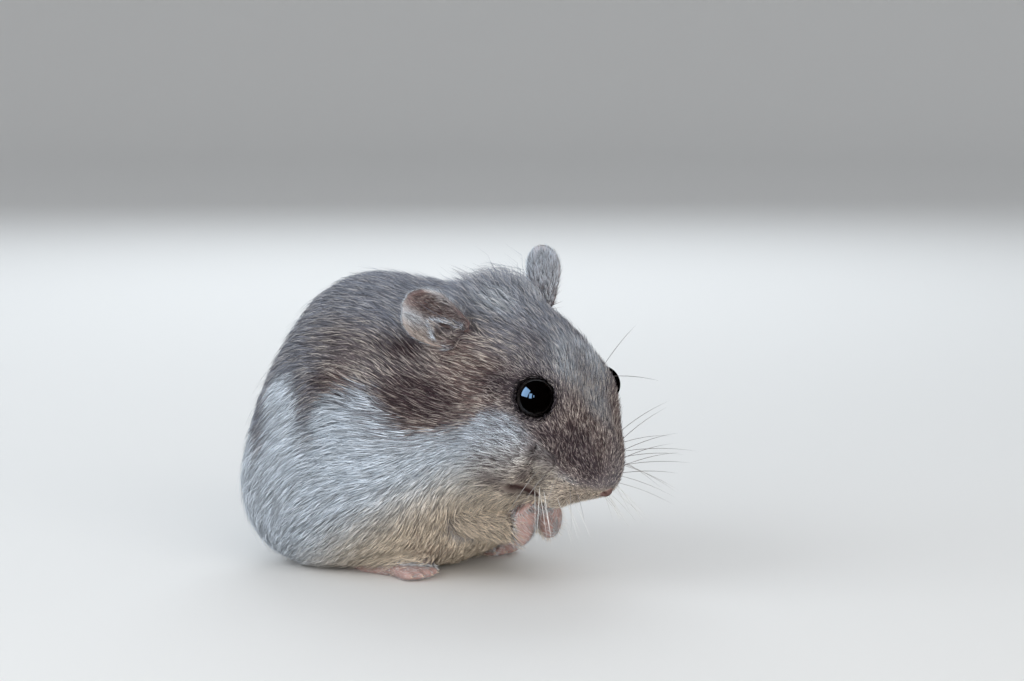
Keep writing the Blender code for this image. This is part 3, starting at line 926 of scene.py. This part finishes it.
# %% Colours and skin
COLOURS = {
    "white": (0.71, 0.765, 0.83), "cream": (0.76, 0.655, 0.53), "slate": (0.33, 0.37, 0.44),
    "brown": (0.265, 0.188, 0.17), "dark": (0.078, 0.047, 0.053), "tick": (0.62, 0.555, 0.49),
    # the root colours are partly the hair's own dark roots and partly painted shade deep in the coat
    "root": (0.08, 0.07, 0.08), "pale_root": (0.34, 0.34, 0.37), "short_root": (0.15, 0.13, 0.13),
    "pink": (0.48, 0.31, 0.275), "ear": (0.14, 0.105, 0.10), "ear_pink": (0.38, 0.18, 0.18),
    # mouth: near black, partly the lips' own dark skin, partly painted shade of the open mouth and the ears'
    # passages
    "lid": (0.010, 0.007, 0.008), "nose": (0.24, 0.13, 0.12), "mouth": (0.05, 0.022, 0.020),
}


def ground_colour(start):
    """The coat's colour at a place, from the masks of its marks attribute."""
    saddle, brown, cream, deep = start.masks("marks")
    pale = tint(cream, COLOURS["white"], COLOURS["cream"])
    # a high fourth mask darkens: dark markings, and on the muzzle painted crease shade
    pale = tint(deep.rise(0.5, 1.0) * 0.75, pale, COLOURS["dark"])
    dark = tint(brown, COLOURS["slate"], COLOURS["brown"])
    dark = tint(deep.rise(0.5, 1.0), dark, COLOURS["dark"])
    dark = tint(1 - deep.rise(0.05, 0.5), dark, COLOURS["white"])
    return tint(saddle, pale, dark), saddle, brown, deep


hide_finish, hide_shader, start = finish_of("hide", roughness=0.6, specular_ior_level=0.3)
ground, *_ = ground_colour(start)
where = start.node("ShaderNodeTexCoord", {}, out="Object")
mottle = start.node("ShaderNodeTexNoise", {}, {"Vector": where, "Scale": 700.0, "Detail": 4.0})
creases = start.node("ShaderNodeTexVoronoi", {}, {"Vector": where, "Scale": 2600.0})
bare_mask, lid_mask, ear_mask, dark_skin_and_shade_mask = start.masks("parts")
# under the coat the skin takes the roots' dark: their own colour, and painted shade between the locks
under = tint(0.62, ground, COLOURS["root"])
pink = tint(mottle.rise(0.35, 0.7) * 0.35, COLOURS["pink"], COLOURS["nose"])
gristle = tint(mottle.rise(0.35, 0.75) * 0.4, COLOURS["ear"], COLOURS["ear_pink"])
gristle = tint(0.5, gristle, ground)
colour = tint(bare_mask, under, tint(ear_mask, pink, gristle))
# painted shade of the open mouth and the ears' passages, and the nose's darker pad
colour = tint(dark_skin_and_shade_mask, colour, COLOURS["mouth"])
colour = tint(lid_mask, colour, COLOURS["lid"])
plug(colour, hide_shader, "Base Color")
plug(0.62 + lid_mask * 0.2 - bare_mask * 0.08, hide_shader, "Roughness")
relief = start.node("ShaderNodeBump", {}, {"Strength": 0.25, "Distance": 0.0001, "Height": mottle + creases})
plug(relief, hide_shader, "Normal")
skin.data.materials.append(hide_finish)
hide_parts(*FLESH)
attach(skin, "root")
print("skin:", len(skin.data.polygons), "faces")

# %% [markdown]
# ## Eyes
#
# A hamster's eye is a dark glossy bead that stands well out of the head. It shows only iris, so
# nearly black that its brown is seen at the edge alone. A sphere with a slightly bulged front does
# it. The same window again, far brighter, lights the eyes alone and gives them their glints.

# %% Eyes
CORNEA_BULGE = 0.06
EYE_SEGMENTS = (64, 32)


def eyeball(side):
    """One eye, replacing its solid."""
    way = gaze(side)
    ball = bmesh.new()
    across, along = EYE_SEGMENTS
    bmesh.ops.create_uvsphere(ball, u_segments=across, v_segments=along, radius=EYE_RADIUS * MM)
    for vert in ball.verts:
        front = max(0.0, vert.co.normalized().z) ** 3
        vert.co *= 1 + CORNEA_BULGE * front / 2
    stand = Matrix.Translation(Vector(EYES[side]) * MM) @ way.to_track_quat("Z", "Y").to_matrix().to_4x4()
    bmesh.ops.transform(ball, matrix=stand, verts=ball.verts)
    bmesh.ops.recalc_face_normals(ball, faces=ball.faces)
    mesh = closed(ball, f"eyeball_{side}")
    mesh.shade_smooth()
    return link(mesh.name, mesh)


GLINT_DISTANCE = 500.0            # nearer than the panes, or these would hide it
GLINT_LIGHT = 18.0
GLINT_COLOUR = (0.30, 0.58, 1.0)
IRIS_TONES = ((0.0003, 0.00015, 0.0001), (0.0012, 0.0006, 0.0005))

eye_finish, eye_shader, start = finish_of("eye_bead", roughness=0.03, ior=1.38)
iris = start.node("ShaderNodeTexNoise", {}, {"Scale": 900.0, "Detail": 2.0})
plug(tint(iris.rise(0.4, 0.8), *IRIS_TONES), eye_shader, "Base Color")
eye_pieces = bpy.data.collections.new("eye_pieces")
for side in SIDES:
    ball = eyeball(side)
    eye_pieces.objects.link(ball)
    ball.data.materials.append(eye_finish)
    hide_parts(f"eye_{side}")
    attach(ball, "root")
for lamp in window("glint", GLINT_DISTANCE, GLINT_LIGHT, GLINT_COLOUR):
    lamp.light_linking.receiver_collection = eye_pieces

# %% [markdown]
# ## The lie of the coat
#
# Hair doesn't stand anyhow: it streams from the nose backwards over the head, down the cheeks and
# flanks and off the rump. A few guides give the stream's way at named places, in degrees from
# straight back to straight down, seen from the side. Each point takes a mean of them, the near ones
# counting most, and on the face hair simply runs away from the nose.

# %% The lie of the coat
LIE = {  # x and z of a place on the side: degrees below straight back
    "crown": ((12, 46), -4), "nape": ((2, 47), 0), "back": ((-12, 47), 2), "croup": ((-27, 38), 35),
    "cheek": ((17, 24), 2), "shoulder": ((9, 29), -15), "ribs": ((3, 35), -32), "side": ((3, 24), 0),
    "waist": ((-3, 31), -18), "loin": ((-12, 37), 6), "flank": ((-9, 25), 28), "haunch": ((-14, 26), 52),
    "rump": ((-29, 24), 74), "thigh": ((-18, 14), 52), "seat": ((-28, 8), 84), "low_side": ((-1, 18), 10),
    "pouch": ((7, 18), 20), "low_flank": ((-5, 11), 34), "belly": ((-3, 3), 30), "breast": ((8, 13), 62),
    "chest": ((13, 11), 84), "throat": ((15, 18), 30), "jaw": ((20, 18), 16),
}
LIE_SOFTNESS = 3.0
FACE_REACH = (14.0, 26.0)
FACE_LIFT = (0, 0, 2)
WHORL = (26.2, 8.4, 20.6)          # the hair of the whisker pad spreads from here
WHORL_REACH = 4.0
WHORL_STRENGTH = 1.0
EYE_WHORL = (5.0, 0.9)             # reach and strength of the spread round an eye
LIMB_WAYS = {
    "ear_right": (-7.7, -4.4, 5.8), "ear_left": (-2.4, 3.2, 9.2), "foreleg_right": (6.0, 2.8, -2.6),
    "foreleg_left": (6.0, -2.8, -2.6), "forepaw_right": (0.9, 0.35, -0.7), "forepaw_left": (0.9, -0.35, -0.7),
    "hind_foot_right": (1.0, 0.1, 0.0), "hind_foot_left": (1.0, -0.1, 0.0), "tail": (-1.0, 0.0, -0.4),
}


def lie(points, normals, owner):
    """The way the hair lies at points of the skin, along the skin."""
    places = np.array([place for place, _ in LIE.values()], float)
    angles = np.radians([angle for _, angle in LIE.values()])
    ways = np.column_stack((-np.cos(angles), np.zeros(len(angles)), -np.sin(angles)))
    away = ((points[:, None, (0, 2)] - places) ** 2).sum(2)
    weight = 1 / (away + LIE_SOFTNESS**2) ** 2
    way = unit(weight @ ways)
    face = 1 - step(span(points, NOSE), *FACE_REACH)[:, None]
    way = way * (1 - face) + unit(points - NOSE + FACE_LIFT) * face
    whorls = [(eye, *EYE_WHORL) for eye in EYES.values()]
    whorls += [(np.array(WHORL) * (1, side, 1), WHORL_REACH, WHORL_STRENGTH) for side in SIDES.values()]
    for middle, reach, strength in whorls:
        way += unit(points - middle) * (strength * bump_at(points, middle, reach))[:, None]
    for name, limb_way in LIMB_WAYS.items():
        way[owner == name] = limb_way
    way -= normals * (way * normals).sum(1, keepdims=True)
    return unit(way)


print("guides:", len(LIE))

# %% [markdown]
# ## One lock
#
# A lock of hair is a thin spike with three sides: a cone with three segments, cut across where it
# bends. Blender's cone operator makes it once. Its copies are then laid by arrays, because there are
# far too many for objects, and because particle hair would be lost when the model is exported.


# %% The form of a lock
def lock_form(bends, sides=3):
    """A spike's points, as (place round it, ring number), and its triangles."""
    spike = bmesh.new()
    raised = Matrix.Translation((0, 0, 0.5))
    bmesh.ops.create_cone(spike, cap_ends=True, segments=sides, radius1=1, radius2=0, depth=1, matrix=raised)
    bmesh.ops.remove_doubles(spike, verts=spike.verts, dist=1e-4)
    rings = bends + 1
    for ring in range(1, rings):
        geometry = list(spike.verts) + list(spike.edges) + list(spike.faces)
        bmesh.ops.bisect_plane(spike, geom=geometry, plane_co=(0, 0, ring / rings), plane_no=(0, 0, 1))
    bmesh.ops.triangulate(spike, faces=spike.faces)
    bmesh.ops.recalc_face_normals(spike, faces=spike.faces)
    spike.verts.index_update()
    around = np.array([vert.co.xy / max(1 - vert.co.z, 1e-6) for vert in spike.verts])
    ring = np.array([round(vert.co.z * rings) for vert in spike.verts])
    around[ring == rings] = 0
    faces = np.array([[vert.index for vert in face.verts] for face in spike.faces])
    spike.free()
    return around, ring, faces


print("a lock with one bend has", len(lock_form(1)[2]), "triangles")

# %% [markdown]
# ## Where locks grow
#
# Roots are sown over the skin's triangles. Each triangle gets its share of them by its area and the
# density there, and each root a random place in its triangle. The skin's normals are smoothed first,
# so that its small folds don't part the hair.

# %% Roots on the skin
SOFT_ROUNDS = 6                    # rounds of smoothing of the normals and lengths that the coat grows by

skin.data.calc_loop_triangles()
skin_triangles = read(skin.data.loop_triangles, "vertices", 3, np.int32)
skin_tree = BVHTree.FromPolygons(skin_points.tolist(), skin_triangles.tolist())
soft_normals = unit(smoothed(skin_normals, skin_edges, SOFT_ROUNDS))


def nearest(points):
    """The nearest points of the skin, with its soft normals there."""
    found = [skin_tree.find_nearest(point) for point in points.tolist()]
    places = np.array([hit[0] for hit in found])
    facing = soft_normals[skin_triangles[[hit[2] for hit in found]]].mean(1)
    return places, unit(facing)


def sown(density):
    """Roots spread over the skin by a density at its points: places, normals and owners."""
    corners = skin_points[skin_triangles]
    area = np.linalg.norm(np.cross(corners[:, 1] - corners[:, 0], corners[:, 2] - corners[:, 0]), axis=1) / 2
    share = np.cumsum(area * density[skin_triangles].mean(1))
    count = int(share[-1])
    picks = np.searchsorted(share, (np.arange(count) + rng.random(count)) * share[-1] / count)
    picks = np.minimum(picks, len(share) - 1)
    first, second = rng.random((2, count))
    flip = first + second > 1
    first, second = np.where(flip, 1 - first, first), np.where(flip, 1 - second, second)
    mix = np.column_stack((1 - first - second, first, second))
    places = (corners[picks] * mix[..., None]).sum(1)
    facing = unit((soft_normals[skin_triangles[picks]] * mix[..., None]).sum(1))
    return places, facing, skin_owner[skin_triangles[picks, 0]]


print("the skin has", len(skin_triangles), "triangles to sow on")

# %% [markdown]
# ## How locks lie
#
# Each lock starts in the skin and follows the body: after each step of its path the nearest point of
# the skin is looked up, so that it bends round the body and never dives into it. Hair also stands
# together in small bunches, so the tips are then drawn towards those of some chosen leaders.

# %% Comb and clump
GROUND_CLEAR = 0.12
CLUMP_REACH = 2.5
ROOT_DEPTH = 0.06                  # how deep in the skin a lock starts
LIFT_BEND, CLUMP_BEND = 0.8, 1.5   # how early a lock stands up, and how late it is drawn to a clump


def combed(roots, normals, owner, length, height, bends, spread):
    """Paths of locks over the skin: points (lock, ring, axis)."""
    rings = bends + 2
    path = np.empty((len(roots), rings, 3))
    path[:, 0] = roots - normals * ROOT_DEPTH
    at, facing = roots, normals
    way = lie(at, facing, owner)
    turn = rng.normal(0, spread, len(roots))[:, None]
    for ring in range(1, rings):
        side = np.cross(facing, way)
        stray = unit(way * np.cos(turn) + side * np.sin(turn))
        at, facing = nearest(at + stray * (length / (rings - 1))[:, None])
        rise = height * math.sin(math.pi / 2 * ring / (rings - 1)) ** LIFT_BEND
        path[:, ring] = at + facing * rise[:, None]
        path[:, ring, 2] = np.maximum(path[:, ring, 2], GROUND_CLEAR)
        way = lie(at, facing, owner)
    return path


def clumped(path, size, pull):
    """Paths with tips drawn to that of the nearest of some chosen locks, and a tone for each clump."""
    leaders = rng.choice(len(path), max(1, int(len(path) / size)), replace=False)
    tree = KDTree(len(leaders))
    for number, leader in enumerate(leaders):
        tree.insert(path[leader, 0], number)
    tree.balance()
    follows = np.array([tree.find(root)[1] for root in path[:, 0].tolist()])
    share = np.linspace(0, 1, path.shape[1])[None, :, None] ** CLUMP_BEND * pull
    gap = path[leaders[follows]] - path
    near = span(gap[:, 0], 0) < CLUMP_REACH
    return path + gap * share * near[:, None, None], rng.random(len(leaders))[follows]


print("locks keep", GROUND_CLEAR, "mm over the floor")

# %% [markdown]
# ## Locks as a mesh
#
# All the locks of a piece are laid at once: each point of the form goes to its ring of the path, and
# out from it by the lock's width there. Each lock gets a small patch of a flat map, by the place of
# its root, and its marks and strand numbers for the finish.

# %% Lay the locks
LOCK_SWELL = ((0, 0.35, 0.7, 1), (0.75, 1.0, 0.62, 0.0))  # shares of its length, and its width there
PATCH = 0.003                      # a lock's size on the coat's flat map
MAP_MARGIN = 0.02


def unwrapped(points, normals):
    """A place on a flat map for each point of the skin: six sides of a box, laid out three by two."""
    axis = np.abs(normals).argmax(1)
    face = axis * 2 + (np.take_along_axis(normals, axis[:, None], 1)[:, 0] > 0)
    across = np.array([(1, 2), (0, 2), (0, 1)])[axis]
    flat = np.take_along_axis(points, across, 1)
    placed = np.empty_like(flat)
    for number in range(6):
        chosen = face == number
        if not chosen.any():
            continue
        low, high = flat[chosen].min(0), flat[chosen].max(0)
        inside = (flat[chosen] - low) / np.maximum(high - low, 1.0)
        cell = np.array((number % 3, number // 3))
        placed[chosen] = (cell + MAP_MARGIN + (1 - 2 * MAP_MARGIN) * inside) / (3, 2)
    return placed


def locks(name, path, width, marks, tone, flatness, form, material, slot):
    """One piece of the coat: many locks, joined."""
    around, ring, faces = form
    rings = path.shape[1] - 1
    ahead = unit(np.diff(path, axis=1, append=path[:, -1:] * 2 - path[:, -2:-1]))
    facing = nearest(path[:, 0])[1]
    side = unit(np.cross(ahead, facing[:, None]))
    up = np.cross(side, ahead)
    swell = np.interp(np.arange(rings + 1) / rings, *LOCK_SWELL)
    spread = (width[:, None] * swell / 2)[:, ring, None]
    points = path[:, ring] + spread * (around[:, :1] * side[:, ring] + flatness * around[:, 1:] * up[:, ring])
    count = len(around)
    triangles = (faces[None] + (np.arange(len(path)) * count)[:, None, None]).reshape(-1, 3)
    mesh = bpy.data.meshes.new(name)
    mesh.vertices.add(len(path) * count)
    put_points(mesh, points.reshape(-1, 3))
    mesh.loops.add(triangles.size)
    mesh.loops.foreach_set("vertex_index", triangles.astype(np.int32).ravel())
    mesh.polygons.add(len(triangles))
    mesh.polygons.foreach_set("loop_start", np.arange(0, triangles.size, 3, dtype=np.int32))
    mesh.update(calc_edges=True)
    mesh.shade_smooth()
    along = ring / rings
    patch = unwrapped(path[:, 0], facing)[:, None] + PATCH * np.column_stack((around[:, 0] / 2, along - 0.5))
    layer = mesh.uv_layers.new(name="OFBake")
    layer.data.foreach_set("uv", patch.reshape(-1, 2)[triangles.ravel()].astype(np.float32).ravel())
    put_attribute(mesh, "marks", np.repeat(marks, count, axis=0))
    own = rng.random((len(path), 2))
    strand = np.empty((len(path), count, 4))
    for channel, values in enumerate((along, own[:, :1], own[:, 1:], tone[:, None])):
        strand[..., channel] = values
    put_attribute(mesh, "strand", strand.reshape(-1, 4))
    piece = link(name, mesh)
    mesh.materials.append(material)
    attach(piece, "root")
    print(name, "has", len(path), "locks,", len(triangles), "triangles")


print("a lock's width along it:", LOCK_SWELL[1])

# %% [markdown]
# ## The coat's finish
#
# A hair isn't one colour from root to tip. Its root is slate, then comes a band of the coat's own
# colour, and on the dark saddle many hairs have a pale band and a dark tip: ticking. The dark root
# band is also painted shade deep in the coat, between the locks. Each lock's points hold their share
# of its length, two random numbers of its own and one of its clump, and the nodes paint the bands
# with them.

# %% The coat's finish
def coat_finish(name, least, spread, band, depth, root):
    """The finish of a coat: its least brightness and spread, how far the roots' shade goes, and its depth."""
    material, shader, start = finish_of(name, roughness=0.62, specular_ior_level=0.25)
    ground, saddle, brown, deep = ground_colour(start)
    along, tone, odd, clump = start.masks("strand")
    plain = (1 - deep.rise(0.5, 1.0) * 0.6) * (brown.rise(0.1, 0.6) * 0.6 + 0.4)
    ticked = saddle * plain * tone.rise(0.5, 0.75) * along.rise(0.3, 0.5) * (1 - along.rise(0.8, 1.0)) * 0.85
    colour = tint(ticked, ground, COLOURS["tick"])
    dark_tip = saddle * odd.rise(0.5, 0.75) * along.rise(0.55, 0.9) * 0.75
    pepper = (1 - saddle) * brown.rise(0.2, 0.7) * odd.rise(0.5, 0.75) * 0.7
    colour = tint(dark_tip + pepper, colour, COLOURS["dark"])
    # the dark root band: the hair's own slate root, and painted shade deep in the coat
    roots = tint(saddle, root, COLOURS["root"])
    colour = tint((1 - along.rise(0.05, band)) * depth, colour, roots)
    brightness = tone * spread + clump * 0.36 + least
    bright = start.node("ShaderNodeCombineXYZ", {}, {"X": brightness, "Y": brightness, "Z": brightness})
    colour = tint(1.0, colour, bright, "MULTIPLY")
    plug(colour, shader, "Base Color")
    print(name, "has", len(start.tree.nodes), "nodes")
    return material


FINISHES = {
    "coat": coat_finish("coat", 0.52, 0.62, 0.5, 0.8, COLOURS["pale_root"]),
    "short_coat": coat_finish("short_coat", 0.26, 1.35, 0.85, 0.92, COLOURS["short_root"]),
}

# %% [markdown]
# ## The kinds of coat
#
# Short single spikes cover the face and limbs, closely set, and still shorter down the ears, hands
# and feet. The rest has an undercoat of straight spikes, a top coat of locks with one bend, and a few
# long guard hairs that stand off the others. How many of each kind grow goes by the hair's length.

# %% How thick it grows
QUICK = 1.0
HAIR_LEAST, SHORT_LIMIT = 0.3, 2.9  # the short coat grows where the hair's length is between these
DOWN = {"ear": (1.5, 20), "forepaw": (1.9, 10), "hind_foot": (1.1, 12)}  # length, and how many on a mm2
COATS = {  # lengths of hair, and how many grow on a mm2 at each
    "face": ((0.3, 1.0, 2.0, 2.9), (26, 26, 26, 26)),
    "under": ((2.9, 4.2, 6.4), (27, 22, 16.5)),
    "top": ((2.9, 4.2, 6.4), (12, 9.2, 7)),
    "guard": ((2.9, 6.4), (0.5, 0.4)),
}
EAR_BARE = ((0.24, -0.15), (0.20, 0.34))  # the nearly bare floor of the ear's hollow: place and reach
EAR_THINNING, MOUTH_THINNING = 0.85, 0.97  # the share of the locks that is left out there
MOUTH_LIPS = (0.12, 0.45)          # the short coat thins out where the mouth gets this strong

skin_length = np.maximum(smoothed(hair_length(skin_points, skin_owner), skin_edges, SOFT_ROUNDS), 0)
short = (skin_length < SHORT_LIMIT) & (skin_length > HAIR_LEAST)
downy = np.zeros(len(skin_points))
for name, (_, number) in DOWN.items():
    downy[np.char.startswith(skin_owner, name)] = number
grown = {"face": short, "under": skin_length >= SHORT_LIMIT}
grown["top"] = grown["guard"] = grown["under"]
densities = {kind: np.where(grown[kind], np.interp(skin_length, *COATS[kind]), 0.0) for kind in COATS}
densities["face"] *= 1 - MOUTH_THINNING * step(mouth_at(skin_points), *MOUTH_LIPS)
for name in EARS:
    hollow = bump_at(ear_coords(skin_points, name)[:, :2], *EAR_BARE)
    downy *= 1 - EAR_THINNING * hollow * (skin_owner == name)
densities["down"] = downy
print("most on a mm2:", {kind: round(float(density.max()), 1) for kind, density in densities.items()})

# %% [markdown]
# ## Growing the coat
#
# Every kind of coat goes the same way: its roots are sown, its locks combed and clumped, those that
# would end in the mouth left out, and the rest marked and laid in pieces, so that each mesh stays a
# handy size. On the crown the hair stands on end.

# %% Grow the coat
WIDTHS = ((0.5, 1.5, 3.0, 6.0), (0.10, 0.15, 0.15, 0.165))
STYLES = (  # kind, bends, stray, locks in a clump, pull, least and most height, width, finish and slot
    ("face", 0, 0.28, 6, 0.2, (0.35, 2.0), 1.5, "short_coat", "grey_fur"),
    ("down", 0, 0.24, 4, 0.1, (0.25, 0.9), 1.0, "short_coat", "pale_fur"),
    ("under", 0, 0.16, 10, 0.25, (0.25, 0.85), 1.0, "coat", "pale_fur"),
    ("top", 1, 0.13, 12, 0.4, (0.6, 1.15), 0.9, "coat", "slate_fur"),
    ("guard", 1, 0.18, 1, 0.0, (1.0, 1.5), 0.5, "coat", "slate_fur"),
)
RUFFLES = (  # where the crown's hair stands on end
    ((14, 7, 45), (5, 5, 4)), ((18, 0, 45), (4, 5, 3)), ((9.5, 11, 42), (3, 4, 3)),
    ((13, 7.5, 43), (3, 3, 3)), ((12, 2, 46), (4, 5, 3)),
)
RUFFLE, RUFFLE_MOST = 2.5, 1.4     # how much higher it stands there, and the most that overlaps add up to
MOUTH_CLEAR = 0.35                 # no lock ends where the mouth is stronger than this
LENGTH_LEAST, LENGTH_SPREAD = 0.9, (0.75, 1.2)
WIDTH_SPREAD = (0.7, 1.3)
LIFT_LEAST, LAYER_BEND = 0.12, 0.8  # the least height of a coat, and how much fuller it is high up than low
BLUR_SHARE, BLUR_MOST = 0.15, 0.45  # how far the markings are blurred, as a share of a hair's length
FLATNESS = 0.55                    # a lock's thickness as a share of its width
TRIANGLES_MOST = 190_000           # in one piece

total = 0
for kind, bends, stray, size, pull, (low, high), thick, finish, slot in STYLES:
    roots, facing, owner = sown(densities[kind] * QUICK)
    length = np.maximum(hair_length(roots, owner), LENGTH_LEAST)
    for name, (down, _) in DOWN.items():
        length = np.where(np.char.startswith(owner, name), down, length)
    length = length * rng.uniform(*LENGTH_SPREAD, len(roots))
    layer = rng.random(len(roots)) ** LAYER_BEND
    height = np.maximum(length * DEPTH_SHARE, LIFT_LEAST) * (low + (high - low) * layer)
    ruffled = np.clip(sum(bump_at(mirrored(roots), *ruffle) for ruffle in RUFFLES), 0, RUFFLE_MOST)
    height *= 1 + RUFFLE * ruffled * layer
    path = combed(roots, facing, owner, length, height, bends, stray)
    path, tone = clumped(path, size, pull)
    clear = mouth_at(path[:, -1]) < MOUTH_CLEAR
    path, tone, length, facing, owner = (values[clear] for values in (path, tone, length, facing, owner))
    blur = rng.normal(0, 1, facing.shape) * np.minimum(BLUR_SHARE * length, BLUR_MOST)[:, None]
    marks = markings(path[:, -2:].mean(1) + blur, facing, owner)
    width = np.interp(length, *WIDTHS) * thick * rng.uniform(*WIDTH_SPREAD, len(path))
    form = lock_form(bends)
    total += len(path) * len(form[2])
    pieces = math.ceil(len(path) * len(form[2]) / TRIANGLES_MOST)
    for number, chosen in enumerate(np.array_split(rng.permutation(len(path)), pieces), 1):
        own = [values[chosen] for values in (path, width, marks, tone)]
        locks(f"coat_{kind}_{number}", *own, FLATNESS, form, FINISHES[finish], slot)
print("the coat has", total, "triangles")

# %% [markdown]
# ## Whiskers
#
# Whiskers are long tapering hairs in rows on each pad. The upper ones are dark and reach forward and
# out, the lower ones pale and hanging. Two more stand over each eye. They are laid as the locks are,
# with more bends.

# %% Whiskers
WHISKER_ROWS = (  # front and height on the pad in the head's frame, way of the row's middle, length, darkness
    (12.6, -4.6, (0.45, 0.80, 0.35), 15.0, 1.0), (12.6, -6.0, (0.50, 0.84, 0.08), 17.0, 1.0),
    (12.6, -7.6, (0.45, 0.80, -0.25), 15.0, 0.6), (13.6, -9.4, (0.62, 0.42, -0.62), 10.5, 0.0),
    (13.2, -10.6, (0.55, 0.25, -0.80), 8.5, 0.0),
)
WHISKER_COLUMNS = 5
WHISKER_STEP = 1.25
WHISKER_OUT, WHISKER_WIDENING = 4.5, 4.0   # how far out the first column is, and how much more the last
WHISKER_AHEAD, WHISKER_FAN = 0.25, 0.6     # how much the first column turns ahead, and how far back the last
WHISKER_SHORTEST, WHISKER_SPREAD = 0.62, (0.9, 1.1)  # the first column's share of the length
WHISKER_STRAY = 0.05
WHISKER_WIDTH = 0.10
WHISKER_TONES = ((0.82, 0.80, 0.77), (0.16, 0.13, 0.12))
BROW_HAIRS = (((27.8, 5.0, 33.7), (0.37, 0.42, 0.83), 10.0), ((28.6, 7.2, 32.3), (0.80, 0.58, 0.05), 7.5))
WHISKER_BENDS = 6
SAG = 0.16


def curved(roots, ways, lengths, droop, bends):
    """Paths that start along their way and bend by the droop."""
    share = np.linspace(0, 1, bends + 2)[None, :, None]
    run = np.array(lengths)[:, None, None]
    path = np.array(roots)[:, None] + unit(np.array(ways))[:, None] * run * share
    path = path + np.array(droop)[:, None] * run * share**2
    path[..., 2] = np.maximum(path[..., 2], GROUND_CLEAR)
    return path


roots, ways, lengths, dark = [], [], [], []
for side in SIDES.values():
    for start, height, way, length, darkness in WHISKER_ROWS:
        for column in range(WHISKER_COLUMNS):
            back = column / (WHISKER_COLUMNS - 1)
            place = (start - WHISKER_STEP * column, side * (WHISKER_OUT + WHISKER_WIDENING * back), height)
            roots.append(nearest(in_head(place)[None])[0][0])
            turned = np.array(way) * (1, side, 1) + (WHISKER_AHEAD - WHISKER_FAN * back, 0, 0)
            ways.append(turned + rng.normal(0, WHISKER_STRAY, 3))
            full = WHISKER_SHORTEST + (1 - WHISKER_SHORTEST) * back
            lengths.append(length * full * rng.uniform(*WHISKER_SPREAD))
            dark.append(darkness)
    for place, way, length in BROW_HAIRS:
        roots.append(nearest(np.array(place)[None] * (1, side, 1))[0][0])
        ways.append(np.array(way) * (1, side, 1))
        lengths.append(length)
        dark.append(1.0)
whisker_finish, whisker_shader, start = finish_of("whisker", roughness=0.4)
dark_mask, *_ = start.masks("marks")
plug(tint(dark_mask, *WHISKER_TONES), whisker_shader, "Base Color")
path = curved(roots, ways, lengths, [(0, 0, -SAG)] * len(roots), WHISKER_BENDS)
marks = np.repeat(np.array(dark)[:, None], 4, axis=1)
width = np.full(len(roots), WHISKER_WIDTH)
locks("whiskers", path, width, marks, width, 1.0, lock_form(WHISKER_BENDS), whisker_finish, "pale_fur")

# %% [markdown]
# ## Claws
#
# Claws are short curved horns at the tips of the fingers and toes. They are locks too, with six sides,
# since they are thick enough to show them.

# %% Claws
FINGERS, FINGER_STEP = 4, np.array((-0.3, 1.2, 0.15))
FINGER_TIP, FINGER_WAY = np.array((20.9, 2.4, 12.4)), np.array((1.2, -0.5, 1.0))
TOES, TOE_STEP, TOE_SPREAD = 5, 0.95, 42.0
TOE_ROOT, TOE_LENGTH, TOE_SHORTENING = np.array((1.1, 11.0, 0.95)), 4.6, 0.06
CLAW_LENGTH, CLAW_WIDTH, CLAW_FLATNESS, CLAW_BENDS = 1.0, 0.42, 0.8, 3
FINGER_CURL, TOE_CURL, CLAW_LIFT = (-0.35, 0, 0.1), (0, 0, -0.5), (0, 0, 0.3)

roots, ways, curls = [], [], []
for side in SIDES.values():
    mirror = np.array((1, side, 1))
    for number in range(FINGERS):
        roots.append((FINGER_TIP + FINGER_STEP * (number - (FINGERS - 1) / 2)) * mirror)
        ways.append(FINGER_WAY * mirror)
        curls.append(FINGER_CURL)
    for number in range(TOES):
        place = number - (TOES - 1) / 2
        angle = math.radians(TOE_SPREAD * place / (TOES - 1))
        way = np.array((math.cos(angle), math.sin(angle), 0))
        length = TOE_LENGTH * (1 - TOE_SHORTENING * place**2)
        roots.append((TOE_ROOT + (0, TOE_STEP * place, 0) + way * length) * mirror)
        ways.append((way + CLAW_LIFT) * mirror)
        curls.append(TOE_CURL)
horn, *_ = finish_of("horn", base_color=(0.60, 0.47, 0.36, 1.0), roughness=0.35)
path = curved(roots, ways, [CLAW_LENGTH] * len(roots), curls, CLAW_BENDS)
marks, width = np.zeros((len(roots), 4)), np.full(len(roots), CLAW_WIDTH)
locks("claws", path, width, marks, width, CLAW_FLATNESS, lock_form(CLAW_BENDS, sides=6), horn, "pale_fur")

# %% [markdown]
